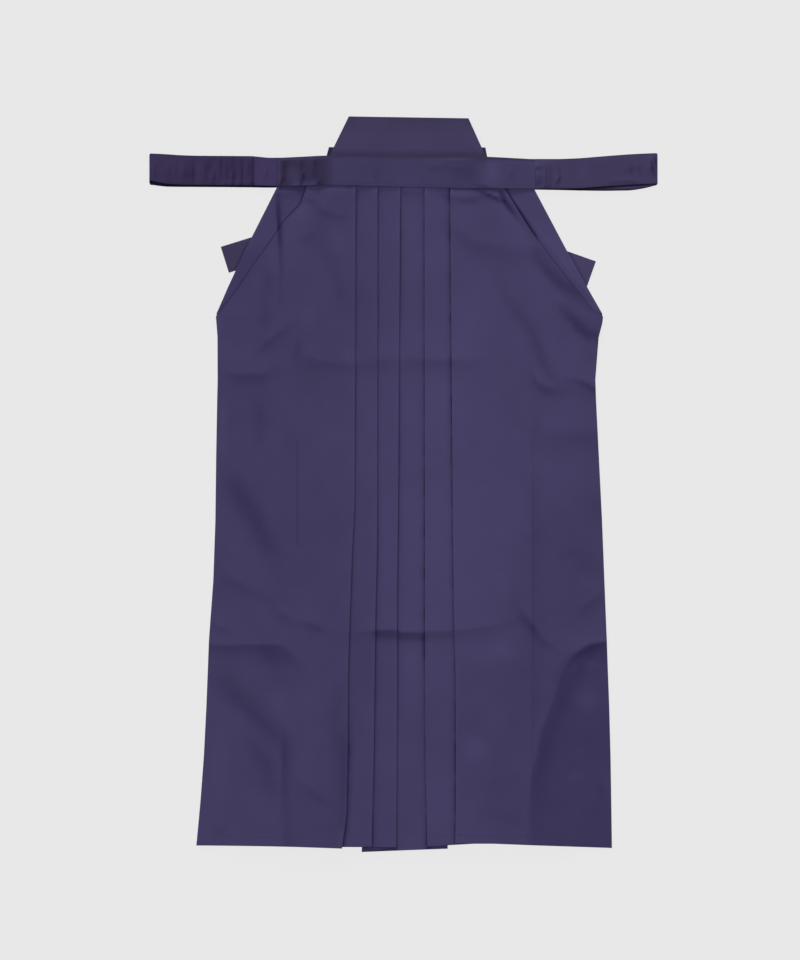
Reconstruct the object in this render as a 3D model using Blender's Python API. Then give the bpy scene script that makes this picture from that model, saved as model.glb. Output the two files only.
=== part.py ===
"""Hakama trousers laid flat with the front side up.

X runs to the wearer's left, Y up to the waist, Z up from the surface. The origin is the middle of the
laid-out garment, on the surface. Lengths below are in millimetres and become metres in make_piece.
From the surface up: back ties, back board and back legs, side folds, front legs, front waistband.
"""
import math
from collections import namedtuple

import bpy

for old_object in list(bpy.data.objects):
    bpy.data.objects.remove(old_object, do_unlink=True)

MM = 0.001

# Cloth, and the room between its layers.
CLOTH = 1.0
FOLD_GAP = 0.15
SEAM_GAP = 0.3
FOLD_PITCH = CLOTH + FOLD_GAP
LAYER = CLOTH + SEAM_GAP

# Waist: the band folded over the top of the pleats, and the ties that run out from its ends.
BAND_RIGHT_END = -172.8
BAND_LEFT_END = 181.2
BAND_LEVEL_RIGHT = -120.0
BAND_LEVEL_LEFT = 130.0
BAND_BACK_LOW = 408.5
BAND_FRONT_LOW = 407.0
BAND_CORNER = 1.0
BAND_END_CLEARANCE = 0.25
PANEL_TOP = 447.0
FLAT_ABOVE = 400.0
TIE_THICKNESS = 1.2
TIE_LAYER = TIE_THICKNESS + SEAM_GAP
FRONT_TIE_HIDDEN_END = 130.0
TURN_STEPS = 4

# Back board: a stiff trapezoid, a little turned in the plane.
BOARD_TOP_WIDTH = 165.0
BOARD_BOTTOM_WIDTH = 245.0
BOARD_HEIGHT = 85.0
BOARD_THICKNESS = 2.6
BOARD_CENTRE = (6.5, 463.2)
BOARD_TURN = math.radians(-0.9)
BOARD_EDGE_ROUND = 0.8
BOARD_EDGE_SEGMENTS = 3
BOARD_UNDERSIDE = 2 * TIE_LAYER

# Back legs: their top edge along the board's lower edge, with its outer corners, and the lap at the
# centre back.
BACK_TOP = BOARD_CENTRE[1] - BOARD_HEIGHT / 2 - SEAM_GAP
BACK_CORNERS = {"right": -119.0, "left": 127.5}
BACK_HEM = -496.0
BACK_SIDE_INSET = 0.4
BACK_SHARES = (0.0, 0.25, 0.5, 0.75, 1.0)
LAP_HALF = 15.0
LAP_RAMP = 25.0

# Back ties: sewn under the board for a short way, then folded beneath themselves at its corners.
BACK_TIE_WIDTH = 37.5
BACK_TIE_SEWN_LENGTH = 30.0
BACK_TIE_FOLDS = {"right": (-106.6, 446.2), "left": (115.4, 445.8)}

# Side slits, and the side fold that lies along each one. Its outer part droops off the back leg's edge.
SLIT_BOTTOM = 233.0
LEAF_TIP = 240.0
LEAF_HIDDEN = 14.0
LEAF_HIDDEN_LEAST = 3.0
LEAF_SHOULDER_INSET = 2.0
LEAF_DROOP = 0.1
LEAF_DROOP_AT_WAIST = 0.14

SIDE_COLUMNS = 10
ARC_STEPS = 3

# Heights: how far the cloth is raised over the crossed back ties, and how much more at the waist
# over the board (pleats, and the outer edges of the panels).
Height = namedtuple("Height", "y over_ties waist_pleats waist_edge")
HEIGHTS = (
    Height(447.0, 3.0, 1.6, 2.9),
    Height(407.0, 3.0, 1.6, 2.9),
    Height(385.0, 3.0, 0.8, 1.4),
    Height(362.0, 3.0, 0.2, 0.4),
    Height(335.0, 3.0, 0.0, 0.0),
    Height(300.0, 3.0, 0.0, 0.0),
    Height(272.0, 2.2, 0.0, 0.0),
    Height(240.0, 0.9, 0.0, 0.0),
    Height(203.0, 0.0, 0.0, 0.0),
    Height(-510.0, 0.0, 0.0, 0.0),
)

# Outer edges of the legs, from the top of the slits to the hem. Above the slit bottom this is the
# outer edge of the side fold.
OuterEdge = namedtuple("OuterEdge", "y right_x left_x")
OUTER_EDGES = (
    OuterEdge(447.0, -155.0, 161.0),
    OuterEdge(411.0, -173.6, 178.2),
    OuterEdge(323.0, -218.2, 224.8),
    OuterEdge(271.5, -242.0, 253.4),
    OuterEdge(233.0, -258.8, 275.4),
    OuterEdge(222.0, -257.8, 274.2),
    OuterEdge(203.0, -256.4, 269.2),
    OuterEdge(144.0, -256.2, 264.6),
    OuterEdge(116.0, -256.9, 265.6),
    OuterEdge(33.0, -258.4, 269.8),
    OuterEdge(-50.0, -259.4, 273.9),
    OuterEdge(-132.0, -262.2, 277.1),
    OuterEdge(-215.0, -268.2, 280.4),
    OuterEdge(-306.0, -271.8, 283.8),
    OuterEdge(-375.0, -275.3, 285.6),
    OuterEdge(-436.0, -279.8, 286.6),
    OuterEdge(-505.0, -285.9, 287.6),
)

# Folded edge of the front panels beside the slits, lying on the side folds.
InnerFold = namedtuple("InnerFold", "y right_x left_x")
INNER_FOLDS = (
    InnerFold(447.0, -131.0, 114.0),
    InnerFold(407.0, -134.2, 140.0),
    InnerFold(385.0, -141.8, 153.2),
    InnerFold(362.0, -164.6, 167.4),
    InnerFold(335.0, -182.3, 185.6),
    InnerFold(300.0, -208.0, 212.4),
    InnerFold(272.0, -225.8, 233.9),
    InnerFold(240.0, -250.5, 259.6),
    InnerFold(233.0, -258.8, 275.4),
)

# Pleat edges, numbered from the wearer's right.
PleatRow = namedtuple("PleatRow", "y first second third fourth fifth")
PLEAT_ROWS = (
    PleatRow(447.0, -65.4, -35.4, -3.9, 29.0, 64.0),
    PleatRow(-22.0, -66.7, -35.7, -7.0, 29.7, 68.0),
    PleatRow(-98.0, -70.6, -36.2, -7.9, 29.7, 68.7),
    PleatRow(-174.0, -73.2, -38.2, -8.9, 29.7, 69.5),
    PleatRow(-249.0, -75.8, -39.0, -8.2, 29.7, 71.8),
    PleatRow(-400.0, -76.9, -41.1, -8.9, 30.8, 72.5),
    PleatRow(-472.0, -78.6, -43.0, -9.6, 32.5, 72.0),
    PleatRow(-505.0, -86.8, -43.7, -10.0, 33.3, 71.3),
)

# Each pleat: how deep its return runs under it at the waist and at the hem, and where the hem of its
# edge and of its hidden inner fold lie.
Pleat = namedtuple("Pleat", "waist_depth hem_depth edge_hem inner_hem")
PLEATS = {
    "first": Pleat(25.0, 45.0, -501.4, -497.5),
    "second": Pleat(25.0, 45.0, -499.3, -499.8),
    "third": Pleat(27.0, 47.5, -500.2, -507.0),
    "fourth": Pleat(24.0, 28.0, -499.0, -500.6),
    "fifth": Pleat(25.0, 45.0, -494.7, -494.2),
}

# Hems: the row of points before the hem, the centre, the right leg's hidden end, and the outer edges.
LAST_ROW = -497.4
CENTRE_HEM = -502.4
HIDDEN_END_HEM = -500.8
SIDE_HEMS = {"right": -498.2, "left": -501.7}
RIGHT_HEM_REACH = 0.8

# Cross creases left by storage folding, over every front layer: middle, half width and height.
StorageCrease = namedtuple("StorageCrease", "y half_width height")
STORAGE_CREASES = (
    StorageCrease(163.0, 16.0, 0.9),
    StorageCrease(-211.0, 13.0, 1.3),
)

# The front side panels swell a little between seams, and soft troughs run through the swelling.
SWELL = 2.2
Trough = namedtuple("Trough", "start_x start_y end_x end_y half_width depth")
TROUGHS = (
    Trough(231.0, -240.0, 212.0, -300.0, 17.0, 2.2),
    Trough(212.0, -300.0, 176.0, -440.0, 19.0, 2.0),
    Trough(277.0, -219.0, 231.0, -240.0, 15.0, 1.8),
    Trough(162.0, -177.0, 208.0, -234.0, 16.0, 1.4),
    Trough(161.0, 234.0, 201.0, 155.0, 17.0, 1.2),
    Trough(-253.0, -267.0, -170.0, -354.0, 17.0, 1.8),
    Trough(-165.0, -354.0, -164.0, -476.0, 15.0, 1.6),
    Trough(-242.0, 11.0, -185.0, -50.0, 16.0, 1.4),
    Trough(-185.0, -50.0, -181.0, -101.0, 15.0, 1.2),
    Trough(-173.0, 408.0, -173.0, 246.0, 13.0, 1.0),
)

# Heights at which every layer bends, so that stacked pieces stay parallel.
ROWS = (
    447.0, 407.0, 385.0, 362.0, 335.0, 300.0, 272.0, 240.0, 233.0, 203.0, 179.0, 163.0, 147.0,
    116.0, 60.0, 5.0, -50.0, -105.0, -155.0, -198.0, -211.0, -224.0, -262.0, -306.0, -350.0,
    -398.0, -440.0, -478.0,
)


def read(table, y, column):
    """Value of a named column at height y, straight between the rows of a table."""
    for upper, lower in zip(table, table[1:]):
        if y >= lower.y:
            share = (upper.y - y) / (upper.y - lower.y)
            share = min(max(share, 0.0), 1.0)
            return getattr(upper, column) * (1 - share) + getattr(lower, column) * share
    return getattr(table[-1], column)


def blend(start, end, share):
    return start + (end - start) * share


def make_material(name, colour, roughness):
    material = bpy.data.materials.new(name)
    material.use_nodes = True
    shader = material.node_tree.nodes["Principled BSDF"]
    shader.inputs["Base Color"].default_value = (*colour, 1.0)
    shader.inputs["Roughness"].default_value = roughness
    shader.inputs["Metallic"].default_value = 0.0
    return material


PANEL_CLOTH = make_material("panel_cloth", (0.050, 0.043, 0.100), 0.85)
BAND_CLOTH = make_material("band_cloth", (0.047, 0.042, 0.096), 0.82)
BOARD_CLOTH = make_material("board_cloth", (0.051, 0.046, 0.089), 0.80)


def add_object(name, vertices, faces, material):
    mesh = bpy.data.meshes.new(name)
    mesh.from_pydata([(x * MM, y * MM, z * MM) for x, y, z in vertices], [], faces)
    mesh.materials.append(material)
    mesh.update()
    piece = bpy.data.objects.new(name, mesh)
    bpy.context.scene.collection.objects.link(piece)
    return piece


def make_piece(name, rows, thickness, material):
    """A closed wall of even thickness through rows of (point, normal) along the middle of the cloth."""
    half = thickness / 2
    vertices = []
    for row in rows:
        for point, normal in row:
            vertices.append(tuple(p + n * half for p, n in zip(point, normal)))
        for point, normal in reversed(row):
            vertices.append(tuple(p - n * half for p, n in zip(point, normal)))
    ring = 2 * len(rows[0])
    columns = len(rows[0])
    faces = []
    for j in range(len(rows) - 1):
        for i in range(ring):
            k = (i + 1) % ring
            faces.append((j * ring + i, j * ring + k, (j + 1) * ring + k, (j + 1) * ring + i))
    last = (len(rows) - 1) * ring
    for i in range(columns - 1):
        far = ring - 1 - i
        faces.append((i, far, far - 1, i + 1))
        faces.append((last + i, last + i + 1, last + far - 1, last + far))
    piece = add_object(name, vertices, faces, material)
    if signed_volume(piece.data) < 0:
        piece.data.flip_normals()
    return piece


def signed_volume(mesh):
    total = 0.0
    for face in mesh.polygons:
        corners = [mesh.vertices[i].co for i in face.vertices]
        for second, third in zip(corners[1:], corners[2:]):
            total += corners[0].dot(second.cross(third)) / 6
    return total


def storage_rise(y):
    return sum(crease.height * max(0.0, 1 - abs(y - crease.y) / crease.half_width)
               for crease in STORAGE_CREASES)


def trough_depth(x, y):
    """Depth of the deepest soft trough at a point of the side panels."""
    deepest = 0.0
    for trough in TROUGHS:
        along_x = trough.end_x - trough.start_x
        along_y = trough.end_y - trough.start_y
        share = (x - trough.start_x) * along_x + (y - trough.start_y) * along_y
        share = min(max(share / (along_x ** 2 + along_y ** 2), 0.0), 1.0)
        away = math.hypot(x - blend(trough.start_x, trough.end_x, share),
                          y - blend(trough.start_y, trough.end_y, share))
        deepest = max(deepest, trough.depth * math.exp(-(away / trough.half_width) ** 2))
    return deepest


def pleat_base(y):
    """Underside of the deepest front layer, over both back legs and their lap."""
    return read(HEIGHTS, y, "over_ties") + 2 * LAYER + read(HEIGHTS, y, "waist_pleats") + storage_rise(y)


def edge_base(y):
    """Underside of the layer next above the back legs at the garment's sides."""
    return read(HEIGHTS, y, "over_ties") + LAYER + read(HEIGHTS, y, "waist_edge") + storage_rise(y)


def pleat_depth(pleat, y):
    share = (PANEL_TOP - y) / (PANEL_TOP - CENTRE_HEM)
    return blend(pleat.waist_depth, pleat.hem_depth, share)


def fold_arc(x, y, z, radius, towards, side):
    """A half-round fold from z + radius down to z - radius, bulging the way that towards says."""
    points = []
    for step in range(ARC_STEPS + 1):
        angle = math.pi * step / ARC_STEPS
        radial = (towards * math.sin(angle), 0.0, math.cos(angle))
        point = (x + radius * radial[0], y, z + radius * radial[2])
        points.append((point, tuple(side * r for r in radial)))
    return points


def side_hem(leg, share, edge_hem):
    """The hem dips only near the first pleat on the right leg, and evenly on the left leg."""
    if leg == "right":
        share = (RIGHT_HEM_REACH * share) ** 3
    return blend(SIDE_HEMS[leg], edge_hem, share)


def front_section(leg, y, at_hem):
    """Middle of the cloth across a front leg: side panel, then each pleat's edge and inner fold."""
    inward = 1 if leg == "right" else -1
    names = ("first", "second", "third") if leg == "right" else ("fifth", "fourth")
    radius = FOLD_PITCH / 2
    reach = radius + CLOTH / 2
    base = pleat_base(y) + (0.0 if leg == "right" else LAYER)
    levels = 2 * len(names) if leg == "right" else 2 * len(names) - 1
    middle = base + CLOTH / 2

    edges = [read(PLEAT_ROWS, y, name) for name in names]
    depths = [pleat_depth(PLEATS[name], y) for name in names]
    in_slit = y > SLIT_BOTTOM + 1
    outer_x = read(INNER_FOLDS if in_slit else OUTER_EDGES, y, leg + "_x")
    outer_z = edge_base(y) + CLOTH / 2 + (LAYER if in_slit else 0.0)
    level_x = edges[0] - inward * depths[0]
    level_z = middle + levels * FOLD_PITCH
    points = []
    for column in range(SIDE_COLUMNS):
        share = column / (SIDE_COLUMNS - 1)
        x = blend(outer_x, level_x, share)
        swelling = 0.0 if y > FLAT_ABOVE else SWELL * math.sqrt(math.sin(math.pi * share))
        relief = max(0.0, swelling - trough_depth(x, y) * min(1.0, swelling))
        z = blend(outer_z, level_z, math.sin(share * math.pi / 2)) + relief
        hem = side_hem(leg, share, PLEATS[names[0]].edge_hem)
        points.append(((x, hem if at_hem else y, z), (0.0, 0.0, 1.0)))

    level = levels
    for name, edge, depth in zip(names, edges, depths):
        pleat = PLEATS[name]
        fold_x = edge - inward * reach
        fold_z = middle + level * FOLD_PITCH - radius
        fold_y = pleat.edge_hem if at_hem else y
        points += fold_arc(fold_x, fold_y, fold_z, radius, inward, 1)
        level -= 1
        if level == 0:
            break
        fold_x = edge - inward * (depth - reach)
        fold_z = middle + level * FOLD_PITCH - radius
        fold_y = pleat.inner_hem if at_hem else y
        points += fold_arc(fold_x, fold_y, fold_z, radius, -inward, -1)
        level -= 1
    if leg == "right":
        end_x = read(PLEAT_ROWS, y, "fourth") + pleat_depth(PLEATS["fourth"], y)
        end_hem = HIDDEN_END_HEM
        end_normal = (0.0, 0.0, 1.0)
    else:
        end_x = edges[-1] + depths[-1] - SEAM_GAP
        end_hem = PLEATS["fourth"].inner_hem
        end_normal = (0.0, 0.0, -1.0)
    points.append(((end_x, end_hem if at_hem else y, middle), end_normal))
    return points


def front_leg(leg):
    rows = [front_section(leg, y, False) for y in ROWS]
    rows.append(front_section(leg, LAST_ROW, True))
    make_piece("front_leg_" + leg, rows, CLOTH, PANEL_CLOTH)


def band_back_top(x):
    """Top of the band's hidden back layer: low at its ends and level over the board."""
    end_low = TIE_LAYER + CLOTH
    over_board = BOARD_UNDERSIDE + BOARD_THICKNESS + SEAM_GAP + CLOTH
    if x < 0:
        share = (x - BAND_RIGHT_END) / (BAND_LEVEL_RIGHT - BAND_RIGHT_END)
    else:
        share = (BAND_LEFT_END - x) / (BAND_LEFT_END - BAND_LEVEL_LEFT)
    return blend(end_low, over_board, min(max(share, 0.0), 1.0))


def back_edge(leg, y):
    """Side edge of a back leg: from the board's corner to the slit bottom, then down the side."""
    if y <= SLIT_BOTTOM:
        return read(OUTER_EDGES, y, leg + "_x")
    slit_x = read(OUTER_EDGES, SLIT_BOTTOM, leg + "_x")
    return blend(BACK_CORNERS[leg], slit_x, (BACK_TOP - y) / (BACK_TOP - SLIT_BOTTOM))


def side_fold(leg):
    """The cloth turned back beneath the slit edge, wide at the waist and running out at the slit."""
    inward = 1 if leg == "right" else -1
    rows = []
    for y in [y for y in ROWS if y > LEAF_TIP] + [LEAF_TIP]:
        outer_x = read(OUTER_EDGES, y, leg + "_x")
        fold_x = read(INNER_FOLDS, y, leg + "_x")
        under_edges = [fold_x, back_edge(leg, y)]
        if y > FLAT_ABOVE:
            under_edges.append(BAND_LEVEL_RIGHT if leg == "right" else BAND_LEVEL_LEFT)
        edge_x = min(under_edges) if leg == "right" else max(under_edges)
        shoulder_x = edge_x - inward * LEAF_SHOULDER_INSET
        width = max(abs(shoulder_x - outer_x), 1.0)
        shoulder_x = outer_x + inward * width
        inner_x = fold_x + inward * min(LEAF_HIDDEN, LEAF_HIDDEN_LEAST + width)
        base = edge_base(y)
        lowest = TIE_LAYER + SEAM_GAP
        droop = LEAF_DROOP * width
        if y > FLAT_ABOVE:
            lowest = band_back_top(outer_x) + SEAM_GAP
            droop = LEAF_DROOP_AT_WAIST * width
        outer_base = base - max(0.0, min(base - lowest, droop))
        half = CLOTH / 2
        up = (0.0, 0.0, 1.0)
        rows.append([((outer_x, y, outer_base + half), up), ((shoulder_x, y, base + half), up),
                     ((inner_x, y, base + half), up)])
    make_piece("side_fold_" + leg, rows, CLOTH, PANEL_CLOTH)


def back_leg(leg):
    """A plain panel flat on the surface, raised over the crossed ties, lapped at the centre back."""
    up = (0.0, 0.0, 1.0)
    inward = 1 if leg == "right" else -1
    rows = []
    for y in [BACK_TOP] + [y for y in ROWS if y < BACK_TOP] + [BACK_HEM]:
        side_x = back_edge(leg, y) + inward * BACK_SIDE_INSET
        lap_x = inward * LAP_HALF
        ramp_x = -inward * LAP_HALF
        foot_x = -inward * (LAP_HALF + LAP_RAMP)
        lap_rise = LAYER if leg == "left" else 0.0
        row = [(blend(side_x, foot_x, share), 0.0) for share in BACK_SHARES]
        row += [(ramp_x, lap_rise), (lap_x, lap_rise)]
        base = read(HEIGHTS, y, "over_ties") + CLOTH / 2
        turn = math.tan(BOARD_TURN) if y == BACK_TOP else 0.0
        rows.append([((x, y + turn * (x - BOARD_CENTRE[0]), base + rise), up) for x, rise in row])
    make_piece("back_leg_" + leg, rows, CLOTH, PANEL_CLOTH)


# Front waistband: its upper and lower edges along X.
BandEdge = namedtuple("BandEdge", "x top low")
BAND_EDGES = (
    BandEdge(BAND_RIGHT_END, 450.2, 410.9),
    BandEdge(-106.0, 452.2, 411.3),
    BandEdge(-30.0, 452.0, 410.2),
    BandEdge(27.0, 451.8, 408.6),
    BandEdge(92.0, 451.6, 407.1),
    BandEdge(BAND_LEFT_END, 448.3, 407.5),
)

# How the band's front layer climbs from the ends to the pleats: from the back layer at its ends, from
# the front panels' outer edges and from the tops of the pleats, with a little room over each.
BandStation = namedtuple("BandStation", "x lower upper share room")
BAND_STATIONS = (
    BandStation(BAND_RIGHT_END, "right_end", "right_end", 0.0, BAND_END_CLEARANCE),
    BandStation(-136.0, "outer_edge", "outer_edge", 0.0, 0.4),
    BandStation(BAND_LEVEL_RIGHT, "outer_edge", "right_top", 0.78, 0.0),
    BandStation(-90.4, "right_top", "right_top", 0.0, 0.0),
    BandStation(-65.4, "right_top", "right_top", 0.0, 0.0),
    BandStation(-35.4, "second_pleat", "second_pleat", 0.0, 0.0),
    BandStation(-2.9, "centre", "centre", 0.0, 0.6),
    BandStation(28.0, "centre", "centre", 0.0, 0.6),
    BandStation(64.0, "left_top", "left_top", 0.0, 0.0),
    BandStation(89.0, "left_top", "left_top", 0.0, 0.0),
    BandStation(115.0, "left_top", "left_top", 0.0, -0.2),
    BandStation(BAND_LEVEL_LEFT, "outer_edge", "left_top", 0.6, 0.0),
    BandStation(142.0, "outer_edge", "outer_edge", 0.0, 0.3),
    BandStation(BAND_LEFT_END, "left_end", "left_end", 0.0, BAND_END_CLEARANCE),
)


def band_edge(x, column):
    for first, second in zip(BAND_EDGES, BAND_EDGES[1:]):
        if x <= second.x:
            share = (x - first.x) / (second.x - first.x)
            return blend(getattr(first, column), getattr(second, column), max(share, 0.0))
    return getattr(BAND_EDGES[-1], column)


def covered_top(leg):
    """Top of a front leg's side panel where the band covers it."""
    section = front_section(leg, PANEL_TOP, False)[:SIDE_COLUMNS]
    section += front_section(leg, BAND_FRONT_LOW, False)[:SIDE_COLUMNS]
    return max(point[2] for point, normal in section) + CLOTH / 2


def front_waistband():
    """A strip folded over the top of the pleats: front layer, top fold and hidden back layer."""
    strip = pleat_base(PANEL_TOP) + CLOTH
    tops = {
        "right_end": band_back_top(BAND_RIGHT_END) + LAYER,
        "left_end": band_back_top(BAND_LEFT_END) + LAYER,
        "outer_edge": edge_base(PANEL_TOP) + LAYER + CLOTH,
        "right_top": covered_top("right"),
        "second_pleat": strip + 4 * FOLD_PITCH,
        "centre": strip + 2 * FOLD_PITCH,
        "left_top": covered_top("left"),
    }
    rows = []
    slant = math.sqrt(0.5)
    turn = BAND_CORNER * (1 - slant)
    for station in BAND_STATIONS:
        x = station.x
        underside = blend(tops[station.lower], tops[station.upper], station.share) + station.room
        front_z = underside + SEAM_GAP + CLOTH / 2
        back_z = band_back_top(x) - CLOTH / 2
        top = band_edge(x, "top") - CLOTH / 2
        low = band_edge(x, "low")
        rows.append([
            ((x, BAND_BACK_LOW, back_z), (0.0, 0.0, -1.0)),
            ((x, top - BAND_CORNER, back_z), (0.0, 0.0, -1.0)),
            ((x, top - turn, back_z + turn), (0.0, slant, -slant)),
            ((x, top, back_z + BAND_CORNER), (0.0, 1.0, 0.0)),
            ((x, top, front_z - BAND_CORNER), (0.0, 1.0, 0.0)),
            ((x, top - turn, front_z - turn), (0.0, slant, slant)),
            ((x, top - BAND_CORNER, front_z), (0.0, 0.0, 1.0)),
            ((x, low, front_z), (0.0, 0.0, 1.0)),
        ])
    make_piece("front_waistband", rows, CLOTH, BAND_CLOTH)


# Front ties from the band's end outwards: edges of the upper and of the hidden lower layer.
TieStation = namedtuple("TieStation", "x top low under_top under_low height")
FRONT_TIES = {
    "right": (
        TieStation(-173.3, 450.2, 410.9, 448.0, 409.4, 1.0),
        TieStation(-185.0, 449.8, 411.3, 448.0, 409.2, 0.88),
        TieStation(-208.0, 452.4, 412.4, 448.0, 409.6, 0.2),
        TieStation(-240.0, 452.7, 412.6, 448.6, 409.9, 0.0),
        TieStation(-285.0, 453.0, 413.7, 449.4, 410.2, 0.0),
        TieStation(-308.0, 453.7, 416.0, 450.0, 410.3, 0.0),
        TieStation(-329.0, 455.3, 418.0, 450.5, 410.6, 0.0),
        TieStation(-349.3, 456.2, 420.6, 451.0, 413.4, 0.0),
    ),
    "left": (
        TieStation(181.7, 448.3, 407.5, 446.0, 406.5, 1.0),
        TieStation(193.0, 448.2, 407.6, 446.0, 406.3, 0.88),
        TieStation(216.0, 448.4, 407.9, 446.0, 405.9, 0.2),
        TieStation(245.0, 449.7, 408.3, 447.0, 405.2, 0.0),
        TieStation(278.0, 452.5, 411.0, 448.2, 404.8, 0.0),
        TieStation(315.0, 455.2, 413.4, 450.0, 405.4, 0.0),
        TieStation(337.0, 456.2, 414.2, 451.6, 409.2, 0.0),
        TieStation(349.3, 456.6, 415.0, 452.0, 413.2, 0.0),
    ),
}


def front_tie(leg):
    """A tie that leaves the band, comes down to the surface and is folded back beneath at its end."""
    outward = -1 if leg == "right" else 1
    radius = TIE_LAYER / 2
    under_z = TIE_THICKNESS / 2
    low_z = under_z + TIE_LAYER
    stations = FRONT_TIES[leg]
    band_end = BAND_RIGHT_END if leg == "right" else BAND_LEFT_END
    high_z = band_back_top(band_end) + LAYER + BAND_END_CLEARANCE + SEAM_GAP + CLOTH / 2
    rows = []
    for station in stations:
        z = blend(low_z, high_z, station.height)
        rows.append([((station.x, station.low, z), (0.0, 0.0, 1.0)),
                     ((station.x, station.top, z), (0.0, 0.0, 1.0))])
    end = stations[-1]
    for step in range(1, TURN_STEPS):
        share = step / TURN_STEPS
        angle = math.pi * share
        x = end.x + outward * radius * math.sin(angle)
        z = under_z + radius + radius * math.cos(angle)
        normal = (outward * math.sin(angle), 0.0, math.cos(angle))
        rows.append([((x, blend(end.low, end.under_low, share), z), normal),
                     ((x, blend(end.top, end.under_top, share), z), normal)])
    for station in reversed(stations):
        rows.append([((station.x, station.under_low, under_z), (0.0, 0.0, -1.0)),
                     ((station.x, station.under_top, under_z), (0.0, 0.0, -1.0))])
    hidden_x = outward * FRONT_TIE_HIDDEN_END
    rows.append([((hidden_x, stations[0].under_low, under_z), (0.0, 0.0, -1.0)),
                 ((hidden_x, stations[0].under_top, under_z), (0.0, 0.0, -1.0))])
    make_piece("front_tie_" + leg, rows, TIE_THICKNESS, BAND_CLOTH)


# Back ties after their fold at the board: middle line and height, down to the free end.
TieRun = namedtuple("TieRun", "x y z")
BACK_TIE_RUNS = {
    "right": (
        TieRun(-60.0, 419.5, 0.0),
        TieRun(0.0, 393.5, 0.0),
        TieRun(90.0, 354.5, 0.0),
        TieRun(180.0, 318.0, 0.0),
        TieRun(259.3, 289.9, 0.0),
    ),
    "left": (
        TieRun(73.0, 428.5, 0.0),
        TieRun(54.0, 420.7, 1.0),
        TieRun(0.0, 399.0, 1.0),
        TieRun(-62.0, 374.2, 1.0),
        TieRun(-95.0, 361.4, 0.0),
        TieRun(-170.0, 333.6, 0.0),
        TieRun(-246.5, 309.7, 0.0),
    ),
}


def back_tie(leg):
    """Sewn under the board, out past its side, folded under and away across the back."""
    outward = -1 if leg == "right" else 1
    half = BACK_TIE_WIDTH / 2
    radius = TIE_LAYER / 2
    low_z = TIE_THICKNESS / 2
    fold_x, fold_y = BACK_TIE_FOLDS[leg]
    run = BACK_TIE_RUNS[leg]
    away = math.hypot(run[0].x - fold_x, run[0].y - fold_y)
    leave = ((run[0].x - fold_x) / away, (run[0].y - fold_y) / away)
    # The crease halves the turn between the sewn stretch and the stretch that leaves.
    crease_x = outward + leave[0]
    crease_y = leave[1]
    crease_length = math.hypot(crease_x, crease_y)
    crease = (-crease_x / crease_length, -crease_y / crease_length)
    reach = half / crease[1]
    bulge = (outward * abs(crease[1]), crease[0] * -outward)
    rows = []

    def add_row(x, y, z, across, normal):
        rows.append([((x - across[0], y - across[1], z), normal),
                     ((x + across[0], y + across[1], z), normal)])

    across_crease = (crease[0] * reach, crease[1] * reach)
    sewn_x = fold_x - outward * BACK_TIE_SEWN_LENGTH
    add_row(sewn_x, fold_y, low_z + TIE_LAYER, (0.0, half), (0.0, 0.0, 1.0))
    for step in range(TURN_STEPS + 1):
        angle = math.pi * step / TURN_STEPS
        push = radius * math.sin(angle)
        normal = (bulge[0] * math.sin(angle), bulge[1] * math.sin(angle), math.cos(angle))
        add_row(fold_x + bulge[0] * push, fold_y + bulge[1] * push,
                low_z + radius + radius * math.cos(angle), across_crease, normal)
    for index, place in enumerate(run):
        before = run[index - 1] if index else TieRun(fold_x, fold_y, 0.0)
        after = run[index + 1] if index + 1 < len(run) else place
        length = math.hypot(after.x - before.x, after.y - before.y)
        along = ((after.x - before.x) / length, (after.y - before.y) / length)
        across = (along[1] * outward * half, -along[0] * outward * half)
        add_row(place.x, place.y, low_z + TIE_LAYER * place.z, across, (0.0, 0.0, -1.0))
    make_piece("back_tie_" + leg, rows, TIE_THICKNESS, BAND_CLOTH)


def back_board():
    """A stiff board in its cover, wider towards the waist seam, with softly rounded edges."""
    half_height = BOARD_HEIGHT / 2
    outline = (
        (-BOARD_BOTTOM_WIDTH / 2, -half_height),
        (BOARD_BOTTOM_WIDTH / 2, -half_height),
        (BOARD_TOP_WIDTH / 2, half_height),
        (-BOARD_TOP_WIDTH / 2, half_height),
    )
    cosine = math.cos(BOARD_TURN)
    sine = math.sin(BOARD_TURN)
    corners = [(BOARD_CENTRE[0] + x * cosine - y * sine, BOARD_CENTRE[1] + x * sine + y * cosine)
               for x, y in outline]
    low = [(x, y, BOARD_UNDERSIDE) for x, y in corners]
    high = [(x, y, BOARD_UNDERSIDE + BOARD_THICKNESS) for x, y in corners]
    faces = [(3, 2, 1, 0), (4, 5, 6, 7)]
    for i in range(4):
        k = (i + 1) % 4
        faces.append((i, k, k + 4, i + 4))
    board = add_object("back_board", low + high, faces, BOARD_CLOTH)
    rounding = board.modifiers.new("edges", "BEVEL")
    rounding.width = BOARD_EDGE_ROUND * MM
    rounding.segments = BOARD_EDGE_SEGMENTS


back_board()
for side in ("right", "left"):
    back_tie(side)
    back_leg(side)
    side_fold(side)
    front_leg(side)
    front_tie(side)
front_waistband()
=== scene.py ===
"""Hakama trousers laid flat with the front side up, as cloth, thread and a stiff back board.

Lengths are in millimetres and become metres where a mesh is made. X runs to the wearer's left, Y up to
the waist, Z up from the surface.
"""
import math
from collections import namedtuple

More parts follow.
